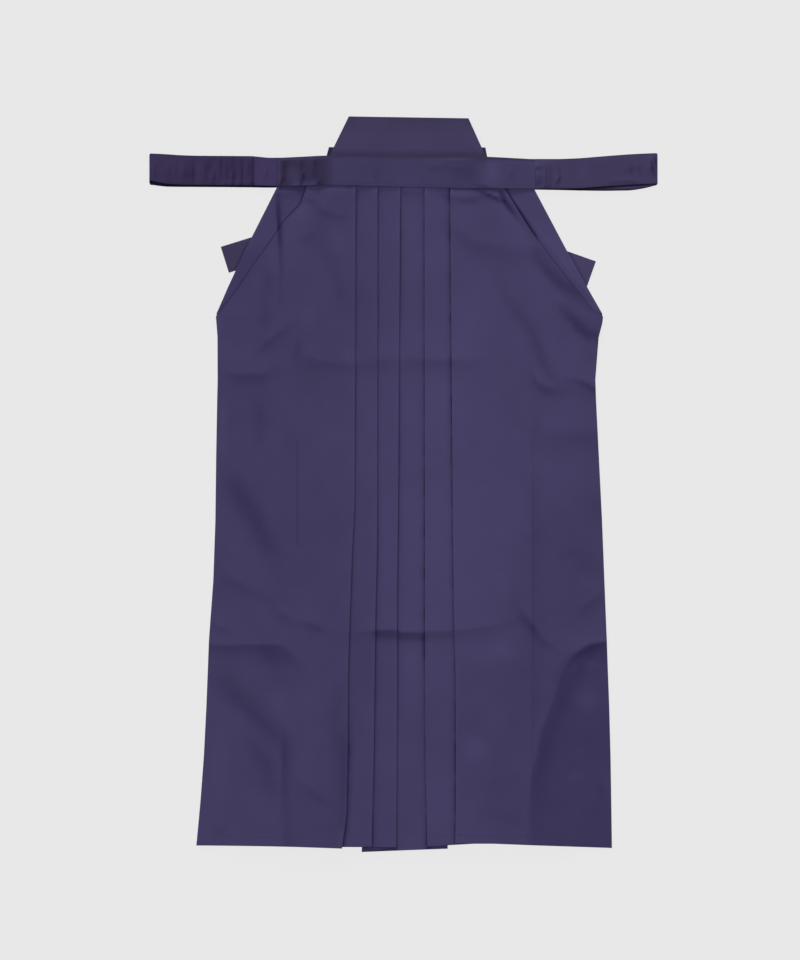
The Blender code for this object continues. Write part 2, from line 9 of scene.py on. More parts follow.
import bpy
import numpy as np
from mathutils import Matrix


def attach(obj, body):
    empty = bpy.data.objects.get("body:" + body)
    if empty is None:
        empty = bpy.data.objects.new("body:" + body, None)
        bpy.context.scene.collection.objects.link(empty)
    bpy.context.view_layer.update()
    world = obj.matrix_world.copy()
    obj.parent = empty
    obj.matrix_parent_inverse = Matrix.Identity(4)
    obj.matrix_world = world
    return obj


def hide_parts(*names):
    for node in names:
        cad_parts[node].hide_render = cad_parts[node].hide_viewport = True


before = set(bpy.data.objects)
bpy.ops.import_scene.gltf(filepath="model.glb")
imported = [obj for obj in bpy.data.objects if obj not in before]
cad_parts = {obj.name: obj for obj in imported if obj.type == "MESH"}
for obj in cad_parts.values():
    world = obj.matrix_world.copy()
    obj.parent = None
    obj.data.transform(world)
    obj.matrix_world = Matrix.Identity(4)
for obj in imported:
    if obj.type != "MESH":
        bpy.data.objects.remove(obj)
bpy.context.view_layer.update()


# Camera, floor and light. The garment lies on a pale table that glows evenly and is looked at straight
# down from four metres, under an even pale room and one broad soft light low beyond the waist.
CAMERA_HEIGHT = 4.0
VIEW_CENTRE = (-0.00476, 0.00587)
VIEW_HEIGHT = 1.3248
SENSOR = 36.0
TABLE_SIZE = 14.0
TABLE_LEVEL = -0.0004
TABLE_GREY = (0.03, 0.03, 0.03, 1.0)
TABLE_GLOW = 0.776
ROOM_GLOW = 0.64
WHITE = (1.0, 1.0, 1.0, 1.0)
LIGHT_RISE = math.radians(19.0)
LIGHT_TURN = math.radians(9.0)
LIGHT_WIDTH = math.radians(22.0)
LIGHT_STRENGTH = 0.36

bpy.ops.object.select_all(action="DESELECT")
bpy.ops.object.camera_add(location=(*VIEW_CENTRE, CAMERA_HEIGHT), rotation=(0.0, 0.0, 0.0))
camera = bpy.context.object
camera.name = "camera"
camera.data.sensor_width = SENSOR
camera.data.lens = SENSOR * CAMERA_HEIGHT / VIEW_HEIGHT
bpy.context.scene.camera = camera

bpy.ops.mesh.primitive_plane_add(size=TABLE_SIZE, location=(0.0, 0.0, TABLE_LEVEL))
table_top = bpy.context.object
table_top.name = "table_top"
table_paint = bpy.data.materials.new("table_paint")
table_paint.use_nodes = True
table_shader = table_paint.node_tree.nodes["Principled BSDF"]
for socket, value in (("Base Color", TABLE_GREY), ("Roughness", 1.0), ("Specular IOR Level", 0.0),
                      ("Emission Color", WHITE), ("Emission Strength", TABLE_GLOW)):
    table_shader.inputs[socket].default_value = value
table_top.data.materials.append(table_paint)

room = bpy.data.worlds.new("room")
room.use_nodes = True
room.node_tree.nodes["Background"].inputs["Color"].default_value = WHITE
room.node_tree.nodes["Background"].inputs["Strength"].default_value = ROOM_GLOW
bpy.context.scene.world = room
bpy.context.scene.view_settings.view_transform = "Standard"

bpy.ops.object.light_add(type="SUN", location=(-0.8, 2.0, 1.2),
                         rotation=(-(math.pi / 2 - LIGHT_RISE), 0.0, LIGHT_TURN))
window_light = bpy.context.object
window_light.name = "soft_light"
window_light.data.energy = LIGHT_STRENGTH * math.pi / math.sin(LIGHT_RISE)
window_light.data.angle = LIGHT_WIDTH


# Back legs. Two plain panels of fine plain-woven cloth lie flat on the table and lap at the centre
# back, raised where they pass over the crossed back ties. Their hems are turned up and stitched.
MM = 0.001
# The room that each layer takes up and the step from one layer to the next, then how thick the cloth
# itself is, above and below the stitched line of its hem.
CLOTH = 1.0
LAYER = 1.3
THIN_CLOTH = 0.6
HEM_THICK = 0.85
HEM_LINE = -489.0
HEM_STEP = 1.8
RIM_WIDTH = 0.16
RIM_ANGLE = math.radians(60.0)
SMOOTH_ANGLE = math.radians(50.0)
SLIT_BOTTOM = 233.0
BACK_TOP = 420.4
BACK_HEM = -496.0
BOARD_CENTRE = (6.5, 463.2)
BOARD_TURN = math.radians(-0.9)
LAP_HALF = 15.0
LAP_RAMP = 25.0
BACK_CORNERS = {"right": -119.0, "left": 127.5}

# Which way the centre lies from each leg. Distances s across a leg grow towards the centre.
INWARD = {"right": 1, "left": -1}

# How far the ties and the folds beneath raise the cloth, at each height.
Height = namedtuple("Height", "y over_ties waist_pleats waist_edge")
HEIGHTS = [Height(*row) for row in (
    (447, 3, 1.6, 2.9),
    (407, 3, 1.6, 2.9),
    (385, 3, 0.8, 1.4),
    (362, 3, 0.2, 0.4),
    (335, 3, 0, 0),
    (300, 3, 0, 0),
    (272, 2.2, 0, 0),
    (240, 0.9, 0, 0),
    (203, 0, 0, 0),
    (-510, 0, 0, 0),
)]
HEIGHT_EASE = 24.0

OuterEdge = namedtuple("OuterEdge", "y right_x left_x")
OUTER_EDGES = [OuterEdge(*row) for row in (
    (447, -155, 161),
    (411, -173.6, 178.2),
    (323, -218.2, 224.8),
    (271.5, -242, 253.4),
    (233, -258.8, 275.4),
    (222, -257.8, 274.2),
    (203, -256.4, 269.2),
    (144, -256.2, 264.6),
    (116, -256.9, 265.6),
    (33, -258.4, 269.8),
    (-50, -259.4, 273.9),
    (-132, -262.2, 277.1),
    (-215, -268.2, 280.4),
    (-306, -271.8, 283.8),
    (-375, -275.3, 285.6),
    (-436, -279.8, 286.6),
    (-505, -285.9, 287.6),
)]

# A crease is a line of (x, y, height). Its run-out is long on its upper side and short on its lower
# side, to the right of its path, which is given a darker tone as painted shade. Below zero it is a
# trough, with its painted shade on both sides. A tone below zero is paler, as painted light.
Crease = namedtuple("Crease", "crest upper lower dark path")
BACK_CREASES = [Crease(*row) for row in (
    (3, 26, 16, 0.04, ((-262, 150, 0.3), (-200, 153, 0.5), (-137, 172, 0.2), (-71, 165, 0.4),
     (35, 168, 0.5), (120, 170, 0.1), (200, 140, 0.2), (262, 131, 0.4))),
    (2, 30, 16, 0.08, ((-266, -220, 0.6), (-170, -221, 0.6), (-140, -212, 0.2), (-48, -202, 0.5),
     (90, -201, 0.6), (155, -190, 0.2))),
    (5, 26, 20, 0.08, ((170, -480, 0.2), (187, -376, 0.6), (215, -287, 0.8), (246, -226, 0.7),
     (280, -219, 0.4))),
    (5, 24, 20, 0.08, ((-238, -246, 0.3), (-200, -284, 0.7), (-166, -326, 0.6), (-152, -366, 0.2))),
    (5, 24, 20, 0.06, ((-228, 24, 0.2), (-202, -26, 0.6), (-178, -72, 0.5), (-170, -112, 0.2))),
    (6, 26, 22, 0.05, ((150, 66, 0.2), (186, 56, 0.5), (228, 62, 0.4), (262, 60, 0.2))),
)]


def ease(value, start, end):
    share = np.clip((value - start) / (end - start), 0.0, 1.0)
    return share * share * (3.0 - 2.0 * share)


def bell(away, width):
    """One in the middle, falling off softly on both sides."""
    return np.exp(-(away / width) ** 2)


def blend(start, end, share):
    return start + (end - start) * share


def column_at(table, y, column, reach=0.0):
    """A table's column at heights y, straight between its rows, eased over reach on either side."""
    heights = [row.y for row in reversed(table)]
    values = [getattr(row, column) for row in reversed(table)]
    steps = (-1.0, -0.5, 0.0, 0.5, 1.0)
    return sum(np.interp(y + step * reach, heights, values) for step in steps) / len(steps)


def back_slant(leg, y):
    """The slanted edge of a back leg above the foot of its slit."""
    slit = column_at(OUTER_EDGES, SLIT_BOTTOM, leg + "_x") * INWARD[leg]
    return blend(BACK_CORNERS[leg] * INWARD[leg], slit, (BACK_TOP - y) / (BACK_TOP - SLIT_BOTTOM))


def crease_shape(crease, x, y):
    """How much one crease lifts the cloth, and the painted shade it gives, at each point."""
    nearest = np.full(x.shape, 1.0e6)
    side = np.zeros(x.shape)
    height = np.zeros(x.shape)
    for (ax, ay, ah), (bx, by, bh) in zip(crease.path, crease.path[1:]):
        run_x = bx - ax
        run_y = by - ay
        share = np.clip(((x - ax) * run_x + (y - ay) * run_y) / (run_x ** 2 + run_y ** 2), 0.0, 1.0)
        off_x = x - (ax + run_x * share)
        off_y = y - (ay + run_y * share)
        away = np.hypot(off_x, off_y)
        nearer = away < nearest
        nearest = np.where(nearer, away, nearest)
        side = np.where(nearer, off_x * run_y - off_y * run_x, side)
        height = np.where(nearer, ah + (bh - ah) * share, height)
    rounded = np.hypot(nearest, crease.crest) - crease.crest
    run_out = np.where(side > 0.0, crease.lower, crease.upper)
    strength = np.abs(height) / max(abs(step[2]) for step in crease.path)
    if crease.path[1][2] < 0.0:
        tone = bell(nearest, 0.5 * (crease.lower + crease.upper))
    else:
        soft_edge = crease.crest + 1.5
        offset = np.where(side > 0.0, nearest, -nearest)
        tone = ease(offset, -soft_edge, soft_edge) * bell(nearest, 1.3 * crease.lower)
    return height * np.exp(-rounded / run_out), -crease.dark * strength * tone


def creased(creases, x, y):
    """The lift and the painted shade of a whole set of creases."""
    shapes = [crease_shape(crease, x, y) for crease in creases]
    return sum(shape[0] for shape in shapes), sum(shape[1] for shape in shapes)


def table_lie(x, y):
    """The slow rise and fall of cloth that was laid out by hand, never below the table."""
    slow = np.sin(x / 43.0 + 1.1 * np.sin(y / 91.0)) * np.sin(y / 61.0 + 0.8)
    cross = np.sin(x / 71.0 - y / 53.0 + 2.0)
    return 0.28 * (slow + cross + 2.0)


def back_relief(x, y):
    lift = creased(BACK_CREASES, x, y)[0]
    return (0.5 * table_lie(x, y) + lift) * ease(y, 330.0, 250.0)


def lay_cloth(name, x, y, z, tone_and_painted_light, thickness, hemmed=False, flip=False):
    """A grid whose points are put in place one by one, given its threads' directions and its thickness.

    Hemmed cloth is as thick as this below its hem line and thin above it. Flip turns over a grid that
    was set out from the other side.
    """
    if flip:
        x, y, z, tone_and_painted_light = (array[:, ::-1] for array in (x, y, z, tone_and_painted_light))
    rows, columns = x.shape
    bpy.ops.object.select_all(action="DESELECT")
    bpy.ops.mesh.primitive_grid_add(x_subdivisions=columns - 1, y_subdivisions=rows - 1, size=1.0)
    piece = bpy.context.object
    piece.name = name
    piece.data.name = name
    places = np.stack([x, y, z], axis=2)
    piece.data.vertices.foreach_set("co", (places * MM).ravel())
    across = np.zeros((rows, columns))
    across[:, 1:] = np.cumsum(np.linalg.norm(np.diff(places, axis=1), axis=2), axis=1)
    along = np.zeros((rows, columns))
    along[1:] = np.cumsum(np.linalg.norm(np.diff(places, axis=0), axis=2), axis=0)
    threads = (np.stack([across, along], axis=2) * MM).reshape(-1, 2)
    corners = np.zeros(len(piece.data.loops), dtype=np.int32)
    piece.data.loops.foreach_get("vertex_index", corners)
    piece.data.uv_layers[0].name = "threads"
    piece.data.uv_layers[0].uv.foreach_set("vector", threads[corners].ravel())
    # The attribute holds uneven tone together with painted light and shade.
    worn = piece.data.attributes.new("tone_and_painted_light", "FLOAT", "POINT")
    worn.data.foreach_set("value", tone_and_painted_light.ravel())
    wall = piece.modifiers.new("wall", "SOLIDIFY")
    wall.thickness = thickness * MM
    wall.offset = 0.0
    if hemmed:
        group = piece.vertex_groups.new(name="hem")
        levels = np.round(ease(y, HEM_LINE + HEM_STEP, HEM_LINE - HEM_STEP).ravel(), 2)
        for level in np.unique(levels[levels > 0.0]):
            group.add(np.nonzero(levels == level)[0].tolist(), float(level), "REPLACE")
        wall.vertex_group = "hem"
        wall.thickness_vertex_group = THIN_CLOTH / thickness
    bpy.ops.object.modifier_apply(modifier="wall")
    rim = piece.modifiers.new("rim", "BEVEL")
    rim.width = RIM_WIDTH * MM
    rim.segments = 2
    rim.limit_method = "ANGLE"
    rim.angle_limit = RIM_ANGLE
    bpy.ops.object.modifier_apply(modifier="rim")
    bpy.ops.object.shade_smooth_by_angle(angle=SMOOTH_ANGLE)
    return piece


Stitching = namedtuple("Stitching", "pitch length thread")
HEM_STITCHING = Stitching(3.4, 2.5, 0.42)


def lay_stitches(name, paths, stitching):
    """Rows of short stitches, modelled once and set out along lines of points."""
    bpy.ops.object.select_all(action="DESELECT")
    bpy.ops.mesh.primitive_uv_sphere_add(segments=6, ring_count=4, radius=1.0)
    first = bpy.context.object
    shape = np.zeros(len(first.data.vertices) * 3)
    first.data.vertices.foreach_get("co", shape)
    half_size = (stitching.length / 2, stitching.thread / 2, stitching.thread / 2)
    shape = shape.reshape(-1, 3)[:, [2, 0, 1]] * half_size
    faces = [tuple(face.vertices) for face in first.data.polygons]
    bpy.data.objects.remove(first, do_unlink=True)
    vertices = []
    stitched = []
    for line in paths:
        line = np.asarray(line, dtype=float)
        run = np.concatenate([[0.0], np.cumsum(np.linalg.norm(np.diff(line, axis=0), axis=1))])
        count = int(run[-1] / stitching.pitch)
        for index in range(count):
            middle = (index + 0.5) * run[-1] / count
            start, centre, end = (np.array([np.interp(at, run, line[:, axis]) for axis in range(3)])
                                  for at in (middle - half_size[0], middle, middle + half_size[0]))
            ahead = (end - start) / np.linalg.norm(end - start)
            beside = np.cross((0.0, 0.0, 1.0), ahead)
            beside = beside / np.linalg.norm(beside)
            turn = np.stack([ahead, beside, np.cross(ahead, beside)])
            base = len(vertices) * len(shape)
            vertices.append(shape @ turn + centre)
            stitched += [tuple(base + corner for corner in face) for face in faces]
    mesh = bpy.data.meshes.new(name)
    mesh.from_pydata((np.concatenate(vertices) * MM).tolist(), [], stitched)
    mesh.update()
    row = bpy.data.objects.new(name, mesh)
    bpy.context.scene.collection.objects.link(row)
    row.select_set(True)
    bpy.context.view_layer.objects.active = row
    bpy.ops.object.mode_set(mode="EDIT")
    bpy.ops.mesh.select_all(action="SELECT")
    bpy.ops.mesh.normals_make_consistent(inside=False)
    bpy.ops.object.mode_set(mode="OBJECT")
    bpy.ops.object.shade_smooth()
    return row


class Wire:
    """A socket in a finish's node tree. Arithmetic on wires adds Math nodes."""

    def __init__(self, tree, socket=None):
        self.tree = tree
        self.socket = socket

    def add(self, kind, settings, values, output=0):
        """Any node: its settings first, then the values or wires of its sockets."""
        node = self.tree.nodes.new(kind)
        for name, value in settings.items():
            setattr(node, name, value)
        for name, value in values.items():
            if isinstance(value, Wire):
                value.to(node.inputs[name])
            else:
                node.inputs[name].default_value = value
        return Wire(self.tree, node.outputs[output])

    def to(self, socket):
        self.tree.links.new(self.socket, socket)

    def maths(self, operation, *values):
        return self.add("ShaderNodeMath", {"operation": operation}, dict(enumerate(values)))

    def vector(self, operation, *values):
        names = (0, "Scale") if operation == "SCALE" else (0, 1)
        return self.add("ShaderNodeVectorMath", {"operation": operation}, dict(zip(names, values)))

    def __add__(self, other):
        return self.maths("ADD", self, other)

    def __sub__(self, other):
        return self.maths("SUBTRACT", self, other)

    def __mul__(self, other):
        return self.maths("MULTIPLY", self, other)

    def sine(self):
        return self.maths("SINE", self)

    def size(self):
        return self.maths("ABSOLUTE", self)


def new_finish(name):
    """A material, its shader and a wire to start its nodes from."""
    finish = bpy.data.materials.new(name)
    finish.use_nodes = True
    return finish, finish.node_tree.nodes["Principled BSDF"], Wire(finish.node_tree)


THREAD_PITCH = 0.00046
SLUB_WIDTHS = (1400.0, 45.0)

# Where the tone and painted light attribute is lowest, where most shade is painted, the colour turns
# towards violet, in place of the colour of soft shade: by how much in red, green and blue.
SHADE_TINT = (-0.06, -0.22, 0.36)


def weave_finish(name, colour, roughness, sheen, shade_tint=SHADE_TINT):
    """Fine plain weave with slubs and slow changes in the dye, paler or darker by the tone and painted
    light attribute.
    """
    finish, shader, start = new_finish(name)
    threads = start.add("ShaderNodeUVMap", {"uv_map": "threads"}, {})
    place = start.add("ShaderNodeTexCoord", {}, {}, output="Object")
    warp, weft = ((start.add("ShaderNodeSeparateXYZ", {}, {"Vector": threads}, output=axis)
                   * (math.pi / THREAD_PITCH)).sine() for axis in "XY")
    weave = warp * weft * 0.6 + warp.size() * weft.size() * 0.4

    def slubs(scale_across, scale_along):
        stretched = start.add("ShaderNodeMapping", {},
                              {"Vector": threads, "Scale": (scale_across, scale_along, 1.0)})
        return start.add("ShaderNodeTexNoise", {"noise_dimensions": "2D"},
                         {"Vector": stretched, "Scale": 1.0, "Detail": 1.0})

    def mottling(scale, detail):
        return start.add("ShaderNodeTexNoise", {},
                         {"Vector": place, "Scale": scale, "Detail": detail}) - 0.5

    uneven = slubs(*SLUB_WIDTHS) + slubs(*SLUB_WIDTHS[::-1]) - 1.0
    dye = mottling(9.0, 3.0)
    patches = mottling(27.0, 2.0)
    fine = mottling(60.0, 3.0)
    tone_and_painted_light = start.add("ShaderNodeAttribute", {"attribute_name": "tone_and_painted_light"}, {}, output="Fac")
    depth = uneven * 0.08 + 1.0 + dye * 0.24 + patches * 0.17 + fine * 0.04 + weave * 0.05 + tone_and_painted_light
    # Painted shade: a violet tint where the attribute is darkest.
    shade_amount = start.maths("MINIMUM", start.maths("MAXIMUM", tone_and_painted_light * -1.5 - 0.12, 0.0), 1.0)
    tint = start.vector("ADD", start.vector("SCALE", shade_tint, shade_amount), (1.0, 1.0, 1.0))
    start.vector("MULTIPLY", start.vector("SCALE", colour, depth), tint).to(shader.inputs["Base Color"])
    (fine * 0.06 + roughness + uneven * 0.04).to(shader.inputs["Roughness"])
    surface = weave * 0.045 + uneven * 0.05 + fine * 0.25
    relief = start.add("ShaderNodeBump", {}, {"Height": surface, "Strength": 0.5, "Distance": 0.001})
    relief.to(shader.inputs["Normal"])
    shader.inputs["Specular IOR Level"].default_value = 0.12
    shader.inputs["Sheen Weight"].default_value = sheen
    shader.inputs["Sheen Roughness"].default_value = 0.45
    return finish


def thread_finish(name, cloth_colour, paler):
    """Twisted sewing thread, a little paler and smoother than its cloth."""
    finish, shader, start = new_finish(name)
    place = start.add("ShaderNodeTexCoord", {}, {}, output="Object")
    fine = start.add("ShaderNodeTexNoise", {}, {"Vector": place, "Scale": 900.0, "Detail": 1.0}) - 0.5
    colour = tuple(paler * part for part in cloth_colour)
    start.vector("SCALE", colour, fine * 0.2 + 1.0).to(shader.inputs["Base Color"])
    shader.inputs["Roughness"].default_value = 0.7
    shader.inputs["Specular IOR Level"].default_value = 0.15
    return finish


def finish_piece(piece, finish, node=None):
    """A piece's material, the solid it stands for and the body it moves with."""
    piece.data.materials.append(finish)
    if node:
        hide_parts(node)
    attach(piece, "root")


def finish_sheet(piece, node, finish):
    finish_piece(piece, finish, node)


PANEL_COLOUR = (0.0470, 0.0382, 0.1045)
panel_cloth = weave_finish("panel_cloth", PANEL_COLOUR, 0.86, 0.10)
panel_thread = thread_finish("panel_thread", PANEL_COLOUR, 1.15)

for leg, inward in INWARD.items():
    hem_rows = (BACK_HEM, BACK_HEM + 1.0, HEM_LINE - 2.0, HEM_LINE - 0.9, HEM_LINE, HEM_LINE + 0.9,
                HEM_LINE + 3.0)
    nominal = np.concatenate([hem_rows, np.linspace(HEM_LINE + 7.0, BACK_TOP, 190)])
    side = column_at(OUTER_EDGES, np.minimum(nominal, SLIT_BOTTOM), leg + "_x") * inward
    side = np.where(nominal > SLIT_BOTTOM, back_slant(leg, nominal), side) + 0.4
    foot = -LAP_HALF - LAP_RAMP
    columns = [side + away for away in (0.0, 0.7, 1.8)]
    columns += [blend(side + 4.0, foot, share) for share in np.linspace(0.0, 1.0, 48)]
    columns += [np.full_like(nominal, at) for at in np.linspace(foot, LAP_HALF, 15)[1:]]
    s = np.stack(columns, axis=1)
    y = np.repeat(nominal[:, None], s.shape[1], axis=1)
    x = s * inward
    # The top edge lies along the turned board.
    y += math.tan(BOARD_TURN) * (x - BOARD_CENTRE[0]) * ease(y, BACK_TOP - 60.0, BACK_TOP)
    from_side = s - side[:, None]
    z = column_at(HEIGHTS, y, "over_ties", HEIGHT_EASE) + CLOTH / 2
    if leg == "left":
        z += LAYER * ease(s, foot, -LAP_HALF)
    z += back_relief(x, y) + 0.25 * bell(from_side, 1.5)
    # A little paler along the side and the hem, and the creases' painted shade.
    tone_and_painted_light = 0.06 * bell(from_side, 1.2) + 0.06 * bell(y - BACK_HEM, 1.2) + creased(BACK_CREASES, x, y)[1]
    piece = lay_cloth("back_leg_" + leg + "_cloth", x, y, z, tone_and_painted_light, HEM_THICK, hemmed=True,
                      flip=leg == "left")
    finish_sheet(piece, "back_leg_" + leg, panel_cloth)
    line = hem_rows.index(HEM_LINE)
    under = np.stack([x[line], y[line] - 1.2, z[line] - HEM_THICK / 2 + 0.06], axis=1)
    inside = s[line] < (-LAP_HALF - 2.0 if leg == "left" else LAP_HALF)
    row = lay_stitches("back_hem_stitches_" + leg, [under[inside][1:-1]], HEM_STITCHING)
    finish_piece(row, panel_thread)


# Front legs. Each is one length of the same cloth, pressed into knife pleats whose edges face the
# centre: three on the wearer's right and two on the left, with deep hidden returns stacked beneath.
HEM_LEVEL = -502.0
HEM_EASE = 120.0
FOLD_PITCH = 1.15
SEAM_GAP = 0.3
FOLD_RADIUS = FOLD_PITCH / 2
NOSE = {"right": 0.5, "left": 0.35}
NOSE_RUN = 3.2
PANEL_TOP = 447.0
CENTRE_HEM = -502.4
SIDE_HEMS = {"right": -498.2, "left": -501.7}
SWELL = 2.0

InnerFold = namedtuple("InnerFold", "y right_x left_x")
INNER_FOLDS = [InnerFold(*row) for row in (
    (447, -131, 114),
    (407, -134.2, 140),
    (385, -141.8, 153.2),
    (362, -164.6, 167.4),
    (335, -182.3, 185.6),
    (300, -208, 212.4),
    (272, -225.8, 233.9),
    (240, -250.5, 259.6),
    (233, -258.8, 275.4),
)]

# The upright seam that joins the two widths of cloth in each side panel, and where it shows most.
Seam = namedtuple("Seam", "x top bottom dark")
SEAMS = {
    "right": Seam(-145.8, 57.0, -82.0, 0.17),
    "left": Seam(178.6, 60.0, -470.0, 0.08),
}
SEAM_MARGIN = 9.0
SEAM_WIDTH = 1.5

# How far the folded edge beside each slit stands up off the side fold under it.
SlitLift = namedtuple("SlitLift", "y right left")
SLIT_LIFTS = [SlitLift(*row) for row in (
    (447, 0, 0),
    (409, 0.2, 0.5),
    (394, 0.3, 0.9),
    (362, 0.4, 2.2),
    (334, 0.3, 0.9),
    (270, 0.2, 0.7),
    (236, 0, 0.5),
    (228, 0, 0),
)]
SLIT_EASE = 5.0

# How dark the crevice beside each folded edge is, as a tone that stands in for its shade.
SlitShade = namedtuple("SlitShade", "y right left")
SLIT_SHADES = [SlitShade(*row) for row in (
    (447, 0.3, 0.4),
    (411, 0.3, 0.9),
    (392, 0.45, 0.9),
    (387.5, 0.1, 0.9),
    (383, 0.4, 0.9),
    (366, 0.35, 0.95),
    (361, 0.15, 0.95),
    (344, 0.12, 0.95),
    (338, 0.25, 0.6),
    (332, 0.25, 0.3),
    (327, 0.15, 0.3),
    (262, 0.1, 0.25),
    (240, 0.05, 0.2),
    (225, 0, 0),
)]
SLIT_SHADE_EASE = 1.5

# Where each pleat's edge lies, counted from the wearer's right.
PleatRow = namedtuple("PleatRow", "y first second third fourth fifth")
PLEAT_ROWS = [PleatRow(*row) for row in (
    (447, -65.4, -35.4, -3.9, 29, 64),
    (-22, -66.7, -35.7, -7, 29.7, 68),
    (-98, -70.6, -36.2, -7.9, 29.7, 68.7),
    (-174, -73.2, -38.2, -8.9, 29.7, 69.5),
    (-249, -75.8, -39, -8.2, 29.7, 71.8),
    (-400, -76.9, -41.1, -8.9, 30.8, 72.5),
    (-472, -78.6, -43, -9.6, 32.5, 72),
    (-505, -86.8, -43.7, -10, 33.3, 71.3),
)]
PLEAT_EASE = 22.0

# How dark the cloth is at the foot of each pleat's edge, as a tone that stands in for its shade.
FOOT_SHADES = [PleatRow(*row) for row in (
    (447, 0.1, 0.1, 0, 0.3, 0.7),
    (388, 0.2, 0.2, 0, 0.35, 0.75),
    (350, 0.15, 0, 0.45, 0.55, 0.85),
    (300, -0.05, -0.1, 0.4, 0.6, 0.65),
    (245, 0.05, 0.1, 0.25, 0.5, 0.75),
    (185, -0.2, -0.2, -0.2, 0.45, 0.65),
    (130, 0.1, -0.15, 0.15, 0.65, 0.95),
    (65, 0.05, 0.05, 0.35, 0.6, 0.8),
    (0, -0.1, -0.05, 0.25, 0.75, 0.7),
    (-60, -0.15, 0.25, 0.35, 0.8, 0.6),
    (-130, 0.2, 0.25, 0.3, 0.8, 0.7),
    (-215, 0.1, 0.3, 0.2, 0.7, 0.45),
    (-294, 0.1, 0.3, 0.1, 0.35, 0.5),
    (-365, 0.45, 0.3, -0.2, 0.45, 0.75),
    (-437, 0.25, 0.1, -0.1, 0.3, 0.7),
    (-505, 0.45, 0.6, 0.3, 0.9, 0.7),
)]
SHADE_EASE = 12.0
FOOT_SPREAD = 2.2

# How deep each return runs at the waist and at the hem, and the hems of its edge and inner fold.
Pleat = namedtuple("Pleat", "waist_depth hem_depth edge_hem inner_hem")
PLEATS = {
    "first": Pleat(25, 45, -501.4, -497.5),
    "second": Pleat(25, 45, -499.3, -499.8),
    "third": Pleat(27, 47.5, -500.2, -507),
    "fourth": Pleat(24, 28, -499, -500.6),
    "fifth": Pleat(25, 45, -494.7, -494.2),
}
LEG_PLEATS = {"right": ("first", "second", "third"), "left": ("fifth", "fourth")}

